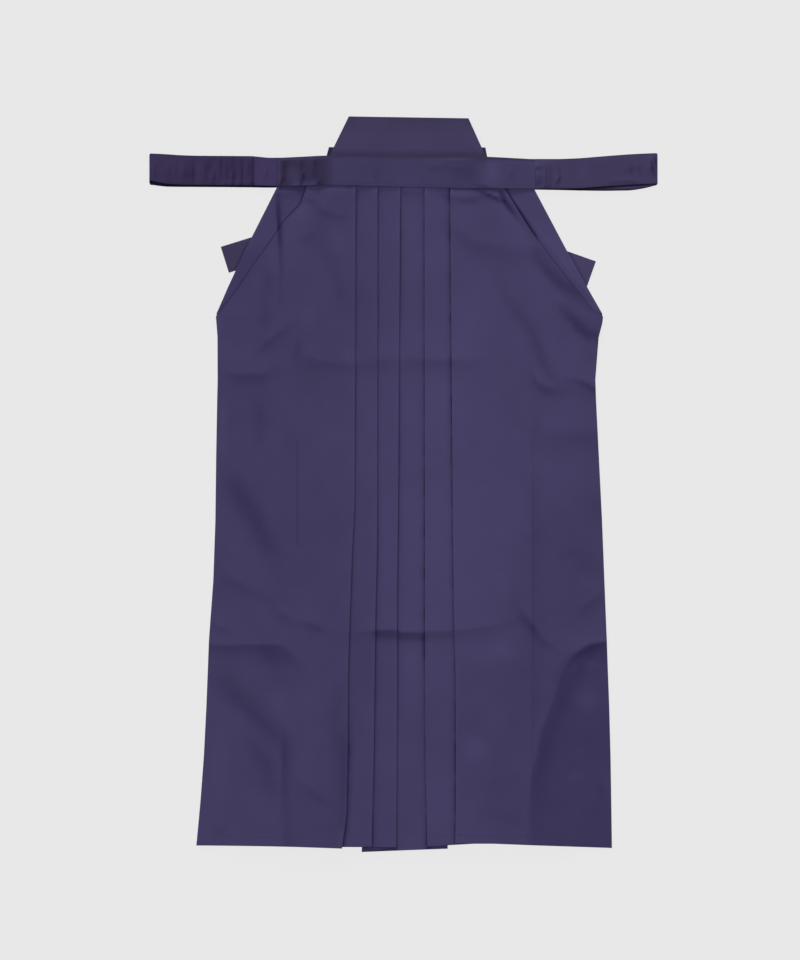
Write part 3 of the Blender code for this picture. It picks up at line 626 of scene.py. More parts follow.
FRONT_CREASES = [Crease(*row) for row in (
    # Wearer's right panel, from the waist down.
    (0.4, 9, 4.5, 0.66, ((-172.4, 254.3, 0.3), (-170.4, 295.7, 0.6), (-171.6, 324, 1.1),
     (-172.6, 338, 1.8), (-173, 346, 2), (-174.6, 370, 2), (-175.3, 384, 1.6), (-175.3, 394, 0.9),
     (-175.3, 402, 0.7))),
    (2, 8, 5, 0.13, ((-130.9, 396.4, 0.2), (-123.2, 388.3, 0.4), (-111, 380.6, 0.4),
     (-102.7, 375.1, 0.1))),
    (2, 10, 5, 0.11, ((-120.7, 378.5, 0.2), (-108.3, 374.3, 0.7), (-84.8, 369.5, 0.6),
     (-73.8, 368.8, 0.2))),
    (2, 8, 5, 0.08, ((-141.4, 338.4, 0.3), (-131.7, 342.6, 0.7), (-120.7, 350.9, 0.2))),
    (9, 10, 10, 0.10, ((-112.4, 339.8, -0.3), (-101.4, 312.2, -0.8), (-93.1, 288.8, -0.5),
     (-84.8, 261.2, -0.8), (-80.7, 246, -0.2))),
    (7, 9, 9, 0.12, ((-192.3, 306.5, -0.2), (-184.3, 279.1, -0.8), (-189.2, 247.4, -0.6),
     (-191.2, 222.9, -0.8), (-191.2, 200.9, -0.2))),
    (6, 12, 24, 0, ((-145.5, 230.8, 0.3), (-130.3, 233.6, 1.2), (-115.2, 229.4, 0.3))),
    (2, 15, 7, 0.10, ((-200.7, 183.9, 0.4), (-188.3, 196.3, 1.4), (-171.7, 210.8, 1.3),
     (-156.6, 222.5, 0.3))),
    (3, 7, 7, 0.13, ((-144.1, 197.7, -0.2), (-144.8, 185.3, -0.7), (-145.5, 174.2, -0.8),
     (-144.1, 160.4, -0.2))),
    (3, 26, 9, 0.08, ((-138.6, 185.3, 0.2), (-129, 175.6, 1.1), (-115.2, 169.4, 1.2), (-94.5, 167.3, 1),
     (-71, 165.9, 0.8), (-35.1, 167.3, 0.4))),
    (3, 24, 11, 0.18, ((-244.9, 156.3, 0.4), (-233.8, 153.5, 1), (-217.3, 152.1, 1.2),
     (-195.2, 152.1, 1.2), (-182.8, 157.7, 0.3))),
    (3, 9, 9, 0.13, ((-200.7, 113.5, -0.2), (-198, 95.6, -0.8), (-195.2, 77.6, -0.9),
     (-198, 58.3, -0.8), (-200.7, 41.7, -0.2))),
    (6, 15, 15, 0.25, ((-244.9, 16.9, -0.3), (-235.2, 1.7, -1.2), (-222.8, -21.7, -1.6),
     (-210.4, -42.4, -1.6), (-198, -63.1, -1.5), (-189.7, -83.8, -1.3), (-184.2, -104.5, -0.5),
     (-181.4, -118.3, -0.2))),
    (3, 18, 10, 0.10, ((-250.4, -112.8, 0.3), (-242.1, -123.9, 0.9), (-228.3, -134.9, 1),
     (-211.8, -144.6, 0.9), (-195.2, -151.5, 0.3))),
    (1.5, 9, 6, 0.10, ((-262.8, -191.5, 0.5), (-251.8, -197, 0.7), (-238, -201.1, 0.2))),
    (2.5, 14, 8, 0.18, ((-172.7, -171.5, 0.3), (-161.3, -181.2, 0.7), (-146.8, -186.7, 0.3),
     (-131.2, -188.9, 0.9), (-118.4, -194.4, 0.9), (-108.4, -200.4, 0.2))),
    (0.8, 30, 13, 0.15, ((-267, -220.9, 1), (-239.4, -222.1, 1.4), (-221.4, -220.4, 1.4),
     (-170.4, -221.1, 1.4), (-159.3, -228.4, 1.1), (-141.4, -244.5, 0.3))),
    (6, 10, 10, 0.09, ((-200.7, -232.9, -0.2), (-181.4, -241.2, -0.8), (-162.1, -248.1, -0.8),
     (-144.1, -249.4, -0.2))),
    (6, 11, 14, 0.21, ((-257.3, -259.1, -0.4), (-244.9, -275.7, -1.2), (-231.1, -293.6, -1.6),
     (-211.8, -312.9, -1.8), (-192.4, -332.2, -1.8), (-178.6, -347.4, -1.6), (-167.6, -364, -1),
     (-162.1, -383.3, -0.3))),
    (0.6, 14, 10, 0.26, ((-165.5, -490.9, 0.6), (-166.5, -442.6, 0.7), (-167.2, -408.1, 1.1),
     (-168.2, -376.4, 1.4), (-168.2, -354.3, 0.8))),
    (6, 13, 12, 0.17, ((-213.1, -344.7, -0.2), (-203.5, -366.7, -0.9), (-189.7, -391.6, -1.1),
     (-181.4, -415, -0.9), (-175.9, -437.1, -0.2))),
    (3, 14, 9, 0.10, ((-144.1, -404, 0.3), (-131.7, -415, 0.7), (-115.2, -428.8, 0.8),
     (-95.8, -438.5, 0.6), (-86.2, -452.3, 0.2))),
    (6, 12, 12, 0.17, ((-92.3, -297.7, -0.3), (-93.4, -339.1, -0.7), (-87.2, -369.4, -1.1),
     (-86.2, -395.4, -0.7), (-88.9, -435.7, -0.5), (-91.1, -488.2, -0.2))),
    (1.5, 5, 5, 0.13, ((-80.5, -335, -0.1), (-81.5, -400, -0.2), (-83.5, -470, -0.2))),
    (3, 10, 8, 0.10, ((-262.5, -463.7, 0.2), (-252.1, -470.6, 0.7), (-243.3, -477.1, 0.2))),
    (5, 10, 10, 0.11, ((-195.1, -236, -0.3), (-178.6, -252, -0.7), (-167.6, -276, -0.3))),
    # Crumples below the waistband, on the wearer's left.
    (0.8, 9, 4, 0.80, ((99, 408, 0.5), (108, 404.5, 1.2), (119, 399.5, 1.4), (131, 393.8, 1.2),
     (137, 391.5, 0.3))),
    (1.5, 8, 5, 0.34, ((67, 395, 0.3), (80.8, 393.6, 0.6), (94.6, 393.6, 0.6), (107, 396.4, 0.2))),
    (1.5, 9, 4, 0.38, ((38, 404.7, 0.2), (50.4, 401.9, 0.7), (60.1, 399.2, 0.9), (64.2, 392.3, 0.4))),
    (1.5, 5, 4, 0.75, ((159, 362.5, -0.2), (147.5, 378.5, -1.2), (139.5, 389.5, -1.5),
     (134.5, 402, -0.9))),
    # Wearer's left panel, from the waist down.
    (6, 30, 18, 0.17, ((67, 359.4, 0.5), (82.2, 346.6, 0.9), (97.4, 334.2, 0.9), (122.2, 328.6, 0.8),
     (151.2, 324.6, 0.6), (177.4, 326, 0.5))),
    (4, 9, 9, 0.36, ((178.8, 321.9, -0.4), (188.4, 306.7, -1.3), (200.9, 290.8, -1.8),
     (218.8, 273.6, -1.8), (235.4, 262.5, -1.2), (247.8, 254.3, -0.3))),
    (4, 8, 8, 0.38, ((210.5, 241.8, -0.3), (221.6, 234.9, -1.2), (234, 226, -1.7), (243.6, 214.9, -1.8),
     (256.1, 206, -1.8), (268.6, 203.2, -1.2))),
    (5, 9, 9, 0.23, ((125, 306.7, -0.2), (133.2, 275, -0.6), (144.3, 248.7, -0.8), (160.8, 229.4, -1.1),
     (176, 208.7, -1.4), (184.3, 188, -1.6), (192.6, 165.9, -1.6), (202.2, 146.6, -1),
     (216, 132.8, -0.2))),
    (2, 10, 8, 0.24, ((180, 154.8, 0.5), (184.3, 141.7, 1), (196.7, 133.8, 1), (212, 130.3, 0.4))),
    (0.8, 14, 5, 0.40, ((227.1, 145.9, 0.3), (238.1, 145.9, 0.5), (249.2, 141.4, 1.1),
     (264.3, 132.8, 1.3))),
    (4, 30, 17, 0.1, ((184.3, 74.9, 0.4), (205, 70.7, 0.8), (229.8, 70.7, 0.8), (268.5, 72.1, 0.5))),
    (4, 7, 7, 0.08, ((180.2, 101.1, -0.2), (182.9, 74.9, -0.7), (185.7, 44.5, -0.2))),
    (6, 10, 10, 0.06, ((162.2, 22.4, -0.2), (171.9, -14.8, -0.6), (178.8, -50.7, -0.2))),
    (8, 13, 13, 0.07, ((218.8, -13.5, -0.2), (243.6, -28.6, -0.6), (272.6, -38.3, -0.4))),
    (8, 13, 13, 0.08, ((224.3, -93.5, -0.2), (247.8, -108.7, -0.7), (276.8, -115.6, -0.5))),
    (0.5, 12, 13, 0.11, ((176.7, -228.7, 0.2), (176.7, -159.7, 0.5), (176.7, -104.5, 0.6),
     (176.4, -49.3, 0.7), (177.4, 5.9, 0.4), (178.8, 61.1, 0.1))),
    (2.5, 18, 9, 0.31, ((158.5, -166.7, 0.4), (168.5, -180.5, 1.1), (178.6, -193.3, 1.3),
     (191.7, -211.9, 0.8), (213, -227, 0.2))),
    (2.5, 12, 8, 0.11, ((238.1, -179.1, 0.2), (251.9, -165.3, 0.8), (265.7, -154.2, 0.7),
     (275.4, -148.7, 0.4))),
    (2.2, 30, 17, 0.26, ((171.2, -495.1, 0.5), (171.2, -456.4, 0.8), (173.3, -421.9, 1.1),
     (177.4, -395.7, 1.4), (184.3, -368.1, 1.7), (189.8, -337.8, 2), (199.5, -312.9, 2.2),
     (210.5, -285.3, 2.4), (217.4, -263.2, 2.4), (227.1, -245.3, 2.4), (239.5, -231.5, 2.3),
     (257.4, -221.1, 1.9), (280.9, -217, 1.3))),
    (2, 10, 6, 0.28, ((236.5, -231.5, 0.2), (247.4, -223.5, 0.5), (259.4, -219.5, 0.8),
     (280.9, -216.2, 0.5))),
    (4, 7, 7, 0.19, ((196, -308, -0.08), (206, -284, -0.14), (215, -261, -0.2), (222, -248, -0.25),
     (232, -238, -0.25), (245, -234.5, -0.16), (260, -232, -0.08))),
    (8, 16, 26, 0, ((80.8, -359.8, 0.3), (100.1, -362.6, 1), (119.4, -369.5, 0.2))),
    (3, 6, 6, 0.12, ((268.5, -408.1, -0.2), (272.6, -420.6, -0.7), (275.4, -434.4, -0.2))),
    (5, 9, 9, 0.06, ((109.8, -452.3, -0.2), (130.5, -460.6, -0.5), (155.3, -468.9, -0.2))),
    # Storage folds across the pleats.
    (2, 26, 15, 0.16, ((-35.1, 174.2, 0.4), (-0.6, 174.9, 0.5), (33.9, 172.8, 0.9), (60, 171.5, 0.9),
     (91.8, 171.5, 0.5), (122.2, 175.6, 0.2))),
    (0.8, 36, 11, 0.25, ((-80.7, -202.5, 0.2), (-48.9, -202.5, 0.4), (-36.5, -200.3, 1.5),
     (-8.9, -200.3, 1.5), (-4.8, -203.6, 1.4), (27, -203.9, 1.4), (34, -202.6, 0.7),
     (64.2, -201.9, 0.7), (91.8, -198.4, 0.7), (127.7, -192.9, 0.5), (156.7, -182.4, 0.2))),
    (5, 6, 6, 0.20, ((-36, -209, -0.2), (-8, -209.2, -0.2), (-4, -211.6, -0.25), (27, -212.2, -0.25),
     (33, -210.5, -0.15), (62, -210, -0.15))),
    (0.8, 3, 3, 0.35, ((27.6, -212, -0.3), (28, -224, -0.8), (28.2, -236, -0.3))),
)]


def front_relief(x, y, swelling=0.0):
    """Lift and painted crease shade of the front layers, which never sink below their own level."""
    lift, shade = creased(FRONT_CREASES, x, y)
    lift = lift + swelling
    lift = 0.5 * (lift + np.hypot(lift, 0.4)) * ease(y, 409.0, 400.0)
    return lift + back_relief(x, y) + 0.5 * table_lie(x + 37.0, y) * ease(y, 400.0, 330.0), shade


# The left edge, as (y, x), of the painted shade over the ground of the great fold low on the wearer's
# left.
VALLEY_FOOT = ((-219.0, 262.0), (-262.0, 226.0), (-300.0, 210.0), (-340.0, 192.0), (-400.0, 175.0),
               (-490.0, 170.0))

# Small soft patches that are paler, or darker below zero: uneven tone, and in places painted shade
# beside folds and edges.
TonePatch = namedtuple("TonePatch", "x y half_x half_y paler")
TONE_PATCHES = [TonePatch(*row) for row in (
    (-249, 88, 6, 32, 0.15), (-256, -397, 15, 22, 0.10), (-130, 227, 10, 15, 0.15),
    (-88, 334, 16, 14, 0.11), (-208, -262, 12, 10, 0.06), (-170, -300, 10, 16, 0.08),
    (-24, -100, 10, 70, 0.09), (92, 222, 26, 44, 0.06), (232, 180, 9, 24, 0.06),
    (136, -230, 15, 9, 0.10), (102, -366, 19, 17, 0.20), (92, -445, 13, 15, 0.11),
    (253, -297, 13, 14, 0.16), (259, -247, 9, 6, 0.12), (238, -402, 11, 9, 0.12),
    (260, -455, 18, 22, -0.06), (234, 0, 26, 30, 0.07), (118, 357, 30, 18, -0.10),
    (-38, 47, 24, 50, 0.05), (-122, 389, 16, 7.5, -0.17), (113, 388, 18, 7, -0.17),
    (184, -296, 11, 36, -0.11), (172, -292, 26, 58, -0.08), (10, -262, 13, 56, 0.11),
    (12, 172, 14, 26, -0.08), (-232, 164, 24, 8, -0.07), (216, 127, 28, 11, -0.07),
    (204, 262, 10, 10, -0.05), (-120, -10, 16, 26, -0.04), (256, 180, 8, 22, -0.07),
    (155, -146, 12, 30, -0.07), (-76, 182, 6, 16, 0.09), (-252, 222, 4, 10, 0.14),
    (-232, 46, 7, 8, -0.09), (-158, 66, 9, 26, -0.05),
)]

# How much paler each strip is close under the band, in place of the light that is caught there.
UnderBand = namedtuple("UnderBand", "x paler reach")
UNDER_BAND = [UnderBand(*row) for row in (
    (-80, 0.38, 4.5),
    (-75, 0.12, 4.5),
    (-67, 0.15, 4.5),
    (-64.5, 0.60, 5),
    (-53, 0.50, 5),
    (-46, 0.30, 4.5),
    (-36, 0.30, 4.5),
    (-34, 0.70, 5.5),
    (-6, 0.55, 5.5),
    (-2.5, 1.00, 7),
    (24, 1.28, 8),
    (28, 1.20, 8),
    (31, 0.82, 6.5),
    (60, 0.78, 6.5),
    (66, 0.12, 5),
    (99, 0.10, 5),
    (112, 0.38, 4.5),
)]


def front_tone_and_painted_light(x, y):
    """Where the front is a little paler or darker: broad soft areas and small patches, painted shade in
    the great fold and painted light close under the band.
    """
    paler = 0.125 * bell(x - 50.0, 100.0) * ease(y, -330.0, -80.0)
    paler = paler + 0.06 * bell(x - 60.0, 90.0)
    paler = paler + 0.10 * bell(x - 200.0, 60.0) * ease(y, -120.0, 60.0)
    for patch in TONE_PATCHES:
        paler = paler + patch.paler * bell(x - patch.x, patch.half_x) * bell(y - patch.y, patch.half_y)
    places = [row.x for row in UNDER_BAND]
    amount, reach = (np.interp(x, places, [getattr(row, column) for row in UNDER_BAND])
                     for column in ("paler", "reach"))
    paler = paler + amount * bell(y - 409.0, reach)
    # Painted shade in the great fold low on the wearer's left, then broad darker areas.
    foot = np.interp(-y, [-row[0] for row in VALLEY_FOOT], [row[1] for row in VALLEY_FOOT])
    darker = 0.17 * ease(x - foot, -4.0, 14.0) * ease(y, -215.0, -245.0)
    darker = darker + 0.02 * ease(x, -60.0, -100.0)
    darker = darker + 0.06 * ease(x, 60.0, 90.0) * ease(x, 178.0, 150.0) * ease(y, -236.0, -262.0)
    darker = darker + 0.04 * ease(x, 150.0, 178.0) * ease(y, 30.0, -60.0) * ease(y, -210.0, -180.0)
    return paler - darker


def pleat_base(y):
    return (column_at(HEIGHTS, y, "over_ties", HEIGHT_EASE)
            + column_at(HEIGHTS, y, "waist_pleats", HEIGHT_EASE) + 2 * LAYER)


def edge_base(y):
    return (column_at(HEIGHTS, y, "over_ties", HEIGHT_EASE)
            + column_at(HEIGHTS, y, "waist_edge", HEIGHT_EASE) + LAYER)


def pleat_depth(pleat, y):
    return blend(pleat.waist_depth, pleat.hem_depth, (PANEL_TOP - y) / (PANEL_TOP - CENTRE_HEM))


def foot_shade(y, name):
    """The tone at the foot of a pleat's edge, made a little uneven along it."""
    uneven = 1.0 + 0.35 * np.sin(y / 6.1 + len(name)) * np.sin(y / 17.0 + 2.0 * len(name))
    return column_at(FOOT_SHADES, y, name, SHADE_EASE) * uneven


def hem_between(s, start, end):
    """The hem's level at s, straight between two places given as (s, level)."""
    return blend(start[1], end[1], (s - start[0]) / (end[0] - start[0]))


class LegSection:
    """Columns of a pleated leg from its outer edge to the centre, s growing towards the centre."""

    def __init__(self, y):
        self.y = y
        self.s = []
        self.z = []
        self.hem = []
        self.swelling = []
        self.tone_and_painted_light = []
        self.face = []

    def add(self, s, z, hem, swelling=0.0, tone_and_painted_light=0.0, face=-1):
        """One column. Open faces are numbered from the side, and hidden cloth is -1."""
        for column, value in ((self.s, s), (self.z, z), (self.hem, hem), (self.swelling, swelling),
                              (self.tone_and_painted_light, tone_and_painted_light)):
            column.append(value + 0.0 * self.y)
        self.face.append(face)

    def fold(self, s, top, bottom, towards, hem):
        """Half round from one level down to the next."""
        for angle in np.linspace(0.0, math.pi, 7)[1:-1]:
            middle = (top + bottom) / 2
            self.add(s + towards * FOLD_RADIUS * math.sin(angle),
                     middle + (top - bottom) / 2 * math.cos(angle), hem)


def add_side_panel(section, leg, step_s, step_z):
    """From the outer edge, across the seam, up to where the first pleat's return begins beneath."""
    y = section.y
    inward = INWARD[leg]
    outer = np.where(y > SLIT_BOTTOM, column_at(INNER_FOLDS, y, leg + "_x"),
                     column_at(OUTER_EDGES, y, leg + "_x")) * inward
    outer_z = edge_base(y) + CLOTH / 2 + LAYER * ease(y, 60.0, 260.0)
    slit_lift = column_at(SLIT_LIFTS, y, leg, SLIT_EASE)
    slit_shade = column_at(SLIT_SHADES, y, leg, SLIT_SHADE_EASE)
    # A painted highlight along the folded edge in the upper part of the wearer's right slit.
    edge_highlight = 0.10 * ease(y, 362.0, 374.0) if leg == "right" else 0.0
    edge_hem = PLEATS[LEG_PLEATS[leg][0]].edge_hem
    seam = SEAMS[leg]
    seam_s = np.maximum(seam.x * inward, outer + SEAM_MARGIN)
    shown = 0.06 + 0.94 * ease(y, seam.bottom - 8.0, seam.bottom) * ease(y, seam.top + 8.0, seam.top)
    shown = shown * ease(seam.x * inward - outer, SEAM_MARGIN - 3.0, SEAM_MARGIN)
    shares = np.linspace(0.0, 1.0, 31 if leg == "right" else 44)
    places = [outer + away for away in (0.0, 0.6, 1.4, 2.6)]
    places += [blend(outer + 4.4, seam_s - 3.4, share) for share in shares]
    places += [seam_s + away for away in (-2.0, -1.0, 0.0, 1.0, 2.0)]
    places += [blend(seam_s + 3.4, step_s, share) for share in np.linspace(0.0, 1.0, 17)]
    for s in places:
        away = s - outer
        share = np.clip(away / (step_s - outer), 0.0, 1.0)
        at_seam = shown * bell(s - seam_s, SEAM_WIDTH)
        rise = blend(share ** 1.5, np.sin(share * math.pi / 2), ease(y, 260.0, 405.0))
        z = blend(outer_z, step_z, rise) + slit_lift * bell(away, 7.0) - 0.2 * at_seam
        drop = (share * 0.8) ** 3 if leg == "right" else share
        swelling = SWELL * np.sin(math.pi * share) ** 1.4 * ease(y, 400.0, 380.0)
        # Painted highlight on the edge, the seam's dark line, and painted shade beside the folded edge.
        tone_and_painted_light = edge_highlight * bell(away, 1.0) - seam.dark * at_seam - 0.35 * slit_shade * bell(away, 1.8)
        section.add(s, z, blend(SIDE_HEMS[leg], edge_hem, drop), swelling, tone_and_painted_light, face=0)


def leg_section(leg, y):
    """The side panel, then each pleat in turn: its open face, its return and the layer beneath."""
    inward = INWARD[leg]
    names = LEG_PLEATS[leg]
    edges = [column_at(PLEAT_ROWS, y, name, PLEAT_EASE) * inward for name in names]
    depths = [pleat_depth(PLEATS[name], y) for name in names]
    reach = FOLD_RADIUS + THIN_CLOTH / 2
    # The right leg's last layer runs in under the left leg, whose own cloth ends in its last return.
    level = 2 * len(names) if leg == "right" else 2 * len(names) - 1
    lowest = pleat_base(y) + (0.0 if leg == "right" else LAYER) + CLOTH / 2
    section = LegSection(y)
    add_side_panel(section, leg, edges[0] - depths[0], lowest + level * FOLD_PITCH)
    for index, (name, edge, depth) in enumerate(zip(names, edges, depths)):
        pleat = PLEATS[name]
        top = lowest + level * FOLD_PITCH
        below = top - FOLD_PITCH
        strip = below - FOLD_PITCH
        # The open face of this layer, with its edge standing a little proud and painted a touch paler as
        # a highlight.
        start = (section.s[-1], section.hem[-1])
        fold = (edge - reach, pleat.edge_hem)
        shares = np.linspace(0.0, 1.0, 7 if index else 8)[1:]
        places = [blend(start[0], fold[0] - 6.0, share) for share in shares]
        places += [fold[0] - away for away in (4.2, 2.8, 1.6, 0.7, 0.0)]
        for s in places:
            lift = NOSE[leg] * bell(fold[0] - s, NOSE_RUN)
            section.add(s, top + lift, hem_between(s, start, fold), tone_and_painted_light=0.02 * bell(fold[0] - s, 1.5),
                        face=index)
        section.fold(fold[0], top + NOSE[leg], below, 1.0, pleat.edge_hem)
        last = level == 1
        inner = (edge - depth + (SEAM_GAP if last else reach), pleat.inner_hem)
        for share in np.linspace(0.0, 1.0, 6 if last else 4):
            section.add(blend(fold[0], inner[0], share), below, blend(fold[1], inner[1], share))
        if last:
            return section
        section.fold(inner[0], below, strip, -1.0, pleat.inner_hem)
        level -= 2
        # The next layer: hidden as far as this pleat's edge, painted darker there as shade, then open,
        # with painted shade at the edge's foot.
        if index + 1 < len(names):
            end = (edges[index + 1] - reach, PLEATS[names[index + 1]].edge_hem)
        else:
            centre_s = column_at(PLEAT_ROWS, y, "fourth", PLEAT_EASE)
            end = (centre_s + pleat_depth(PLEATS["fourth"], y), CENTRE_HEM)
        for share in np.linspace(0.0, 1.0, 4):
            s = blend(inner[0], edge - 1.0, share)
            section.add(s, strip, hem_between(s, inner, end), tone_and_painted_light=-0.2)
        spread = FOOT_SPREAD * (1.0 + (ease(y, -315.0, -355.0) if name == "first" else 0.0))
        for away in (0.3, 1.0, 1.9, 3.2, 5.0):
            section.add(edge + away, strip, hem_between(edge + away, inner, end),
                        tone_and_painted_light=-foot_shade(y, name) * np.exp(-away / spread), face=index + 1)
    # The centre strip, past the fourth pleat's edge and in beneath it, with painted shade at that edge's
    # foot.
    start = (section.s[-1], section.hem[-1])
    places = [blend(start[0], centre_s - 9.0, share) for share in np.linspace(0.0, 1.0, 5)[1:-1]]
    places += [centre_s + away for away in (-9.0, -5.0, -3.2, -1.9, -1.0, -0.3, 1.0)]
    places += [blend(centre_s + 1.0, end[0], share) for share in np.linspace(0.0, 1.0, 6)[1:]]
    for s in places:
        shade = foot_shade(y, "fourth") * np.exp(-np.abs(s - centre_s) / FOOT_SPREAD)
        section.add(s, strip, hem_between(s, start, end), tone_and_painted_light=-shade, face=len(names))
    return section


for leg, inward in INWARD.items():
    hem_rows = (HEM_LEVEL, HEM_LEVEL + 0.8, HEM_LEVEL + 2.5, HEM_LEVEL + 6.0, HEM_LINE - 2.0,
                HEM_LINE - 0.9, HEM_LINE, HEM_LINE + 0.9, HEM_LINE + 3.0)
    nominal = np.concatenate([hem_rows, np.linspace(HEM_LINE + 6.5, -233.0, 62),
                              np.linspace(-230.0, -193.0, 27), np.linspace(-189.0, PANEL_TOP, 157)])
    section = leg_section(leg, nominal)
    s, z, hem, swelling, tone_and_painted_light = (
        np.stack(columns, axis=1)
        for columns in (section.s, section.z, section.hem, section.swelling, section.tone_and_painted_light))
    nominal = nominal[:, None]
    near_hem = np.clip((HEM_LEVEL + HEM_EASE - nominal) / HEM_EASE, 0.0, 1.0) ** 2
    y = nominal + (hem - HEM_LEVEL) * near_hem
    x = s * inward
    lift, shade = front_relief(x, y, swelling)
    # The stitched line pulls in, and the turned hem below it is thicker.
    z = z + lift - 0.015 * bell(nominal - HEM_LINE, 1.0)
    # Uneven tone, painted light and shade over the front, and the creases' painted shade.
    tone_and_painted_light = tone_and_painted_light + front_tone_and_painted_light(x, y) + shade
    piece = lay_cloth("front_leg_" + leg + "_cloth", x, y, z, tone_and_painted_light, HEM_THICK, hemmed=True,
                      flip=leg == "left")
    finish_sheet(piece, "front_leg_" + leg, panel_cloth)
    # Hem stitches on the open faces.
    line = hem_rows.index(HEM_LINE)
    points = np.stack([x[line], y[line], z[line] + 0.34], axis=1)
    faces = np.array(section.face)
    open_faces = [points[faces == number][1:-2] for number in range(max(faces) + 1)]
    row = lay_stitches("front_hem_stitches_" + leg, open_faces, HEM_STITCHING)
    finish_piece(row, panel_thread)


# Side folds. Beside each slit the front cloth turns back on itself in a long leaf, widest at the
# waistband, where it lies over the band's back layer, and running out at the slit's foot.
LEAF_FOOT = 234.5
LEAF_HIDDEN = 14.0
LEAF_DROOP = 0.1
BAND_BACK_LOW = 408.5
BAND_RIGHT_END = -172.8
BAND_LEFT_END = 181.2
BAND_LEVELS = {"right": -120.0, "left": 130.0}
TIE_LAYER = 1.5
BOARD_UNDERSIDE = 3.0
BOARD_THICKNESS = 2.6


def band_back_top(x):
    """Top of the waistband's hidden back layer: low at its ends and level over the board."""
    share = np.where(x < 0.0, (x - BAND_RIGHT_END) / (BAND_LEVELS["right"] - BAND_RIGHT_END),
                     (BAND_LEFT_END - x) / (BAND_LEFT_END - BAND_LEVELS["left"]))
    over_board = BOARD_UNDERSIDE + BOARD_THICKNESS + SEAM_GAP + CLOTH
    return blend(TIE_LAYER + CLOTH, over_board, np.clip(share, 0.0, 1.0))


for leg, inward in INWARD.items():
    rows_y = np.linspace(LEAF_FOOT, PANEL_TOP, 150)
    in_band = rows_y > 400.0
    outer = column_at(OUTER_EDGES, rows_y, leg + "_x") * inward
    fold = column_at(INNER_FOLDS, rows_y, leg + "_x") * inward
    shoulder = np.minimum(fold, back_slant(leg, rows_y))
    shoulder = np.where(rows_y > BAND_BACK_LOW - 2.0,
                        np.minimum(shoulder, BAND_LEVELS[leg] * inward), shoulder) - 2.0
    width = np.maximum(shoulder - outer, 1.0)
    shoulder = outer + width
    inner = fold + np.minimum(LEAF_HIDDEN, 3.0 + width)
    level = edge_base(rows_y) + CLOTH / 2
    lowest = np.where(in_band, band_back_top(outer * inward), TIE_LAYER) + SEAM_GAP + CLOTH / 2
    droop = np.clip(LEAF_DROOP * width * np.where(in_band, 1.4, 1.0), 0.0,
                    np.maximum(level - lowest, 0.0))
    shares = (0.0, 0.02, 0.05, 0.09, 0.14, *np.linspace(0.20, 0.83, 10), 0.89, 0.95, 1.0)
    columns = [(blend(outer, shoulder, share), level - droop * (1.0 - share) ** 0.8) for share in shares]
    columns += [(blend(shoulder, inner, share), level) for share in np.linspace(0.0, 1.0, 15)[1:]]
    s, z = (np.stack(part, axis=1) for part in zip(*columns))
    x = s * inward
    y = np.repeat(rows_y[:, None], s.shape[1], axis=1)
    lift, shade = front_relief(x, y)
    z = z + 0.8 * lift - 0.25 * bell(s - outer[:, None], 1.2)
    # Painted shade in the crevice beside the panel's folded edge, and painted light close beside the
    # waistband.
    crevice = column_at(SLIT_SHADES, rows_y, leg, SLIT_SHADE_EASE)[:, None]
    reach = 1.8 + 1.2 * ease(crevice, 0.5, 0.9) * ease(y, 392.0, 372.0)
    tone_and_painted_light = shade - crevice * bell(s - fold[:, None] + 0.8, reach)
    # Otherwise the wearer's left fold is a little paler, most of all low down, and the right one a
    # little darker.
    if leg == "left":
        tone_and_painted_light = tone_and_painted_light + 0.05 + 0.11 * ease(y, 366.0, 330.0) + 0.45 * bell(y - 407.5, 6.5)
    else:
        tone_and_painted_light = tone_and_painted_light - 0.06 - 0.08 * ease(y, 372.0, 404.0) - 0.10 * ease(y, 340.0, 308.0)
        tone_and_painted_light = tone_and_painted_light + 0.2 * bell(y - 407.5, 6.5)
    piece = lay_cloth("side_fold_" + leg + "_cloth", x, y, z, tone_and_painted_light, THIN_CLOTH, flip=leg == "left")
    finish_sheet(piece, "side_fold_" + leg, panel_cloth)


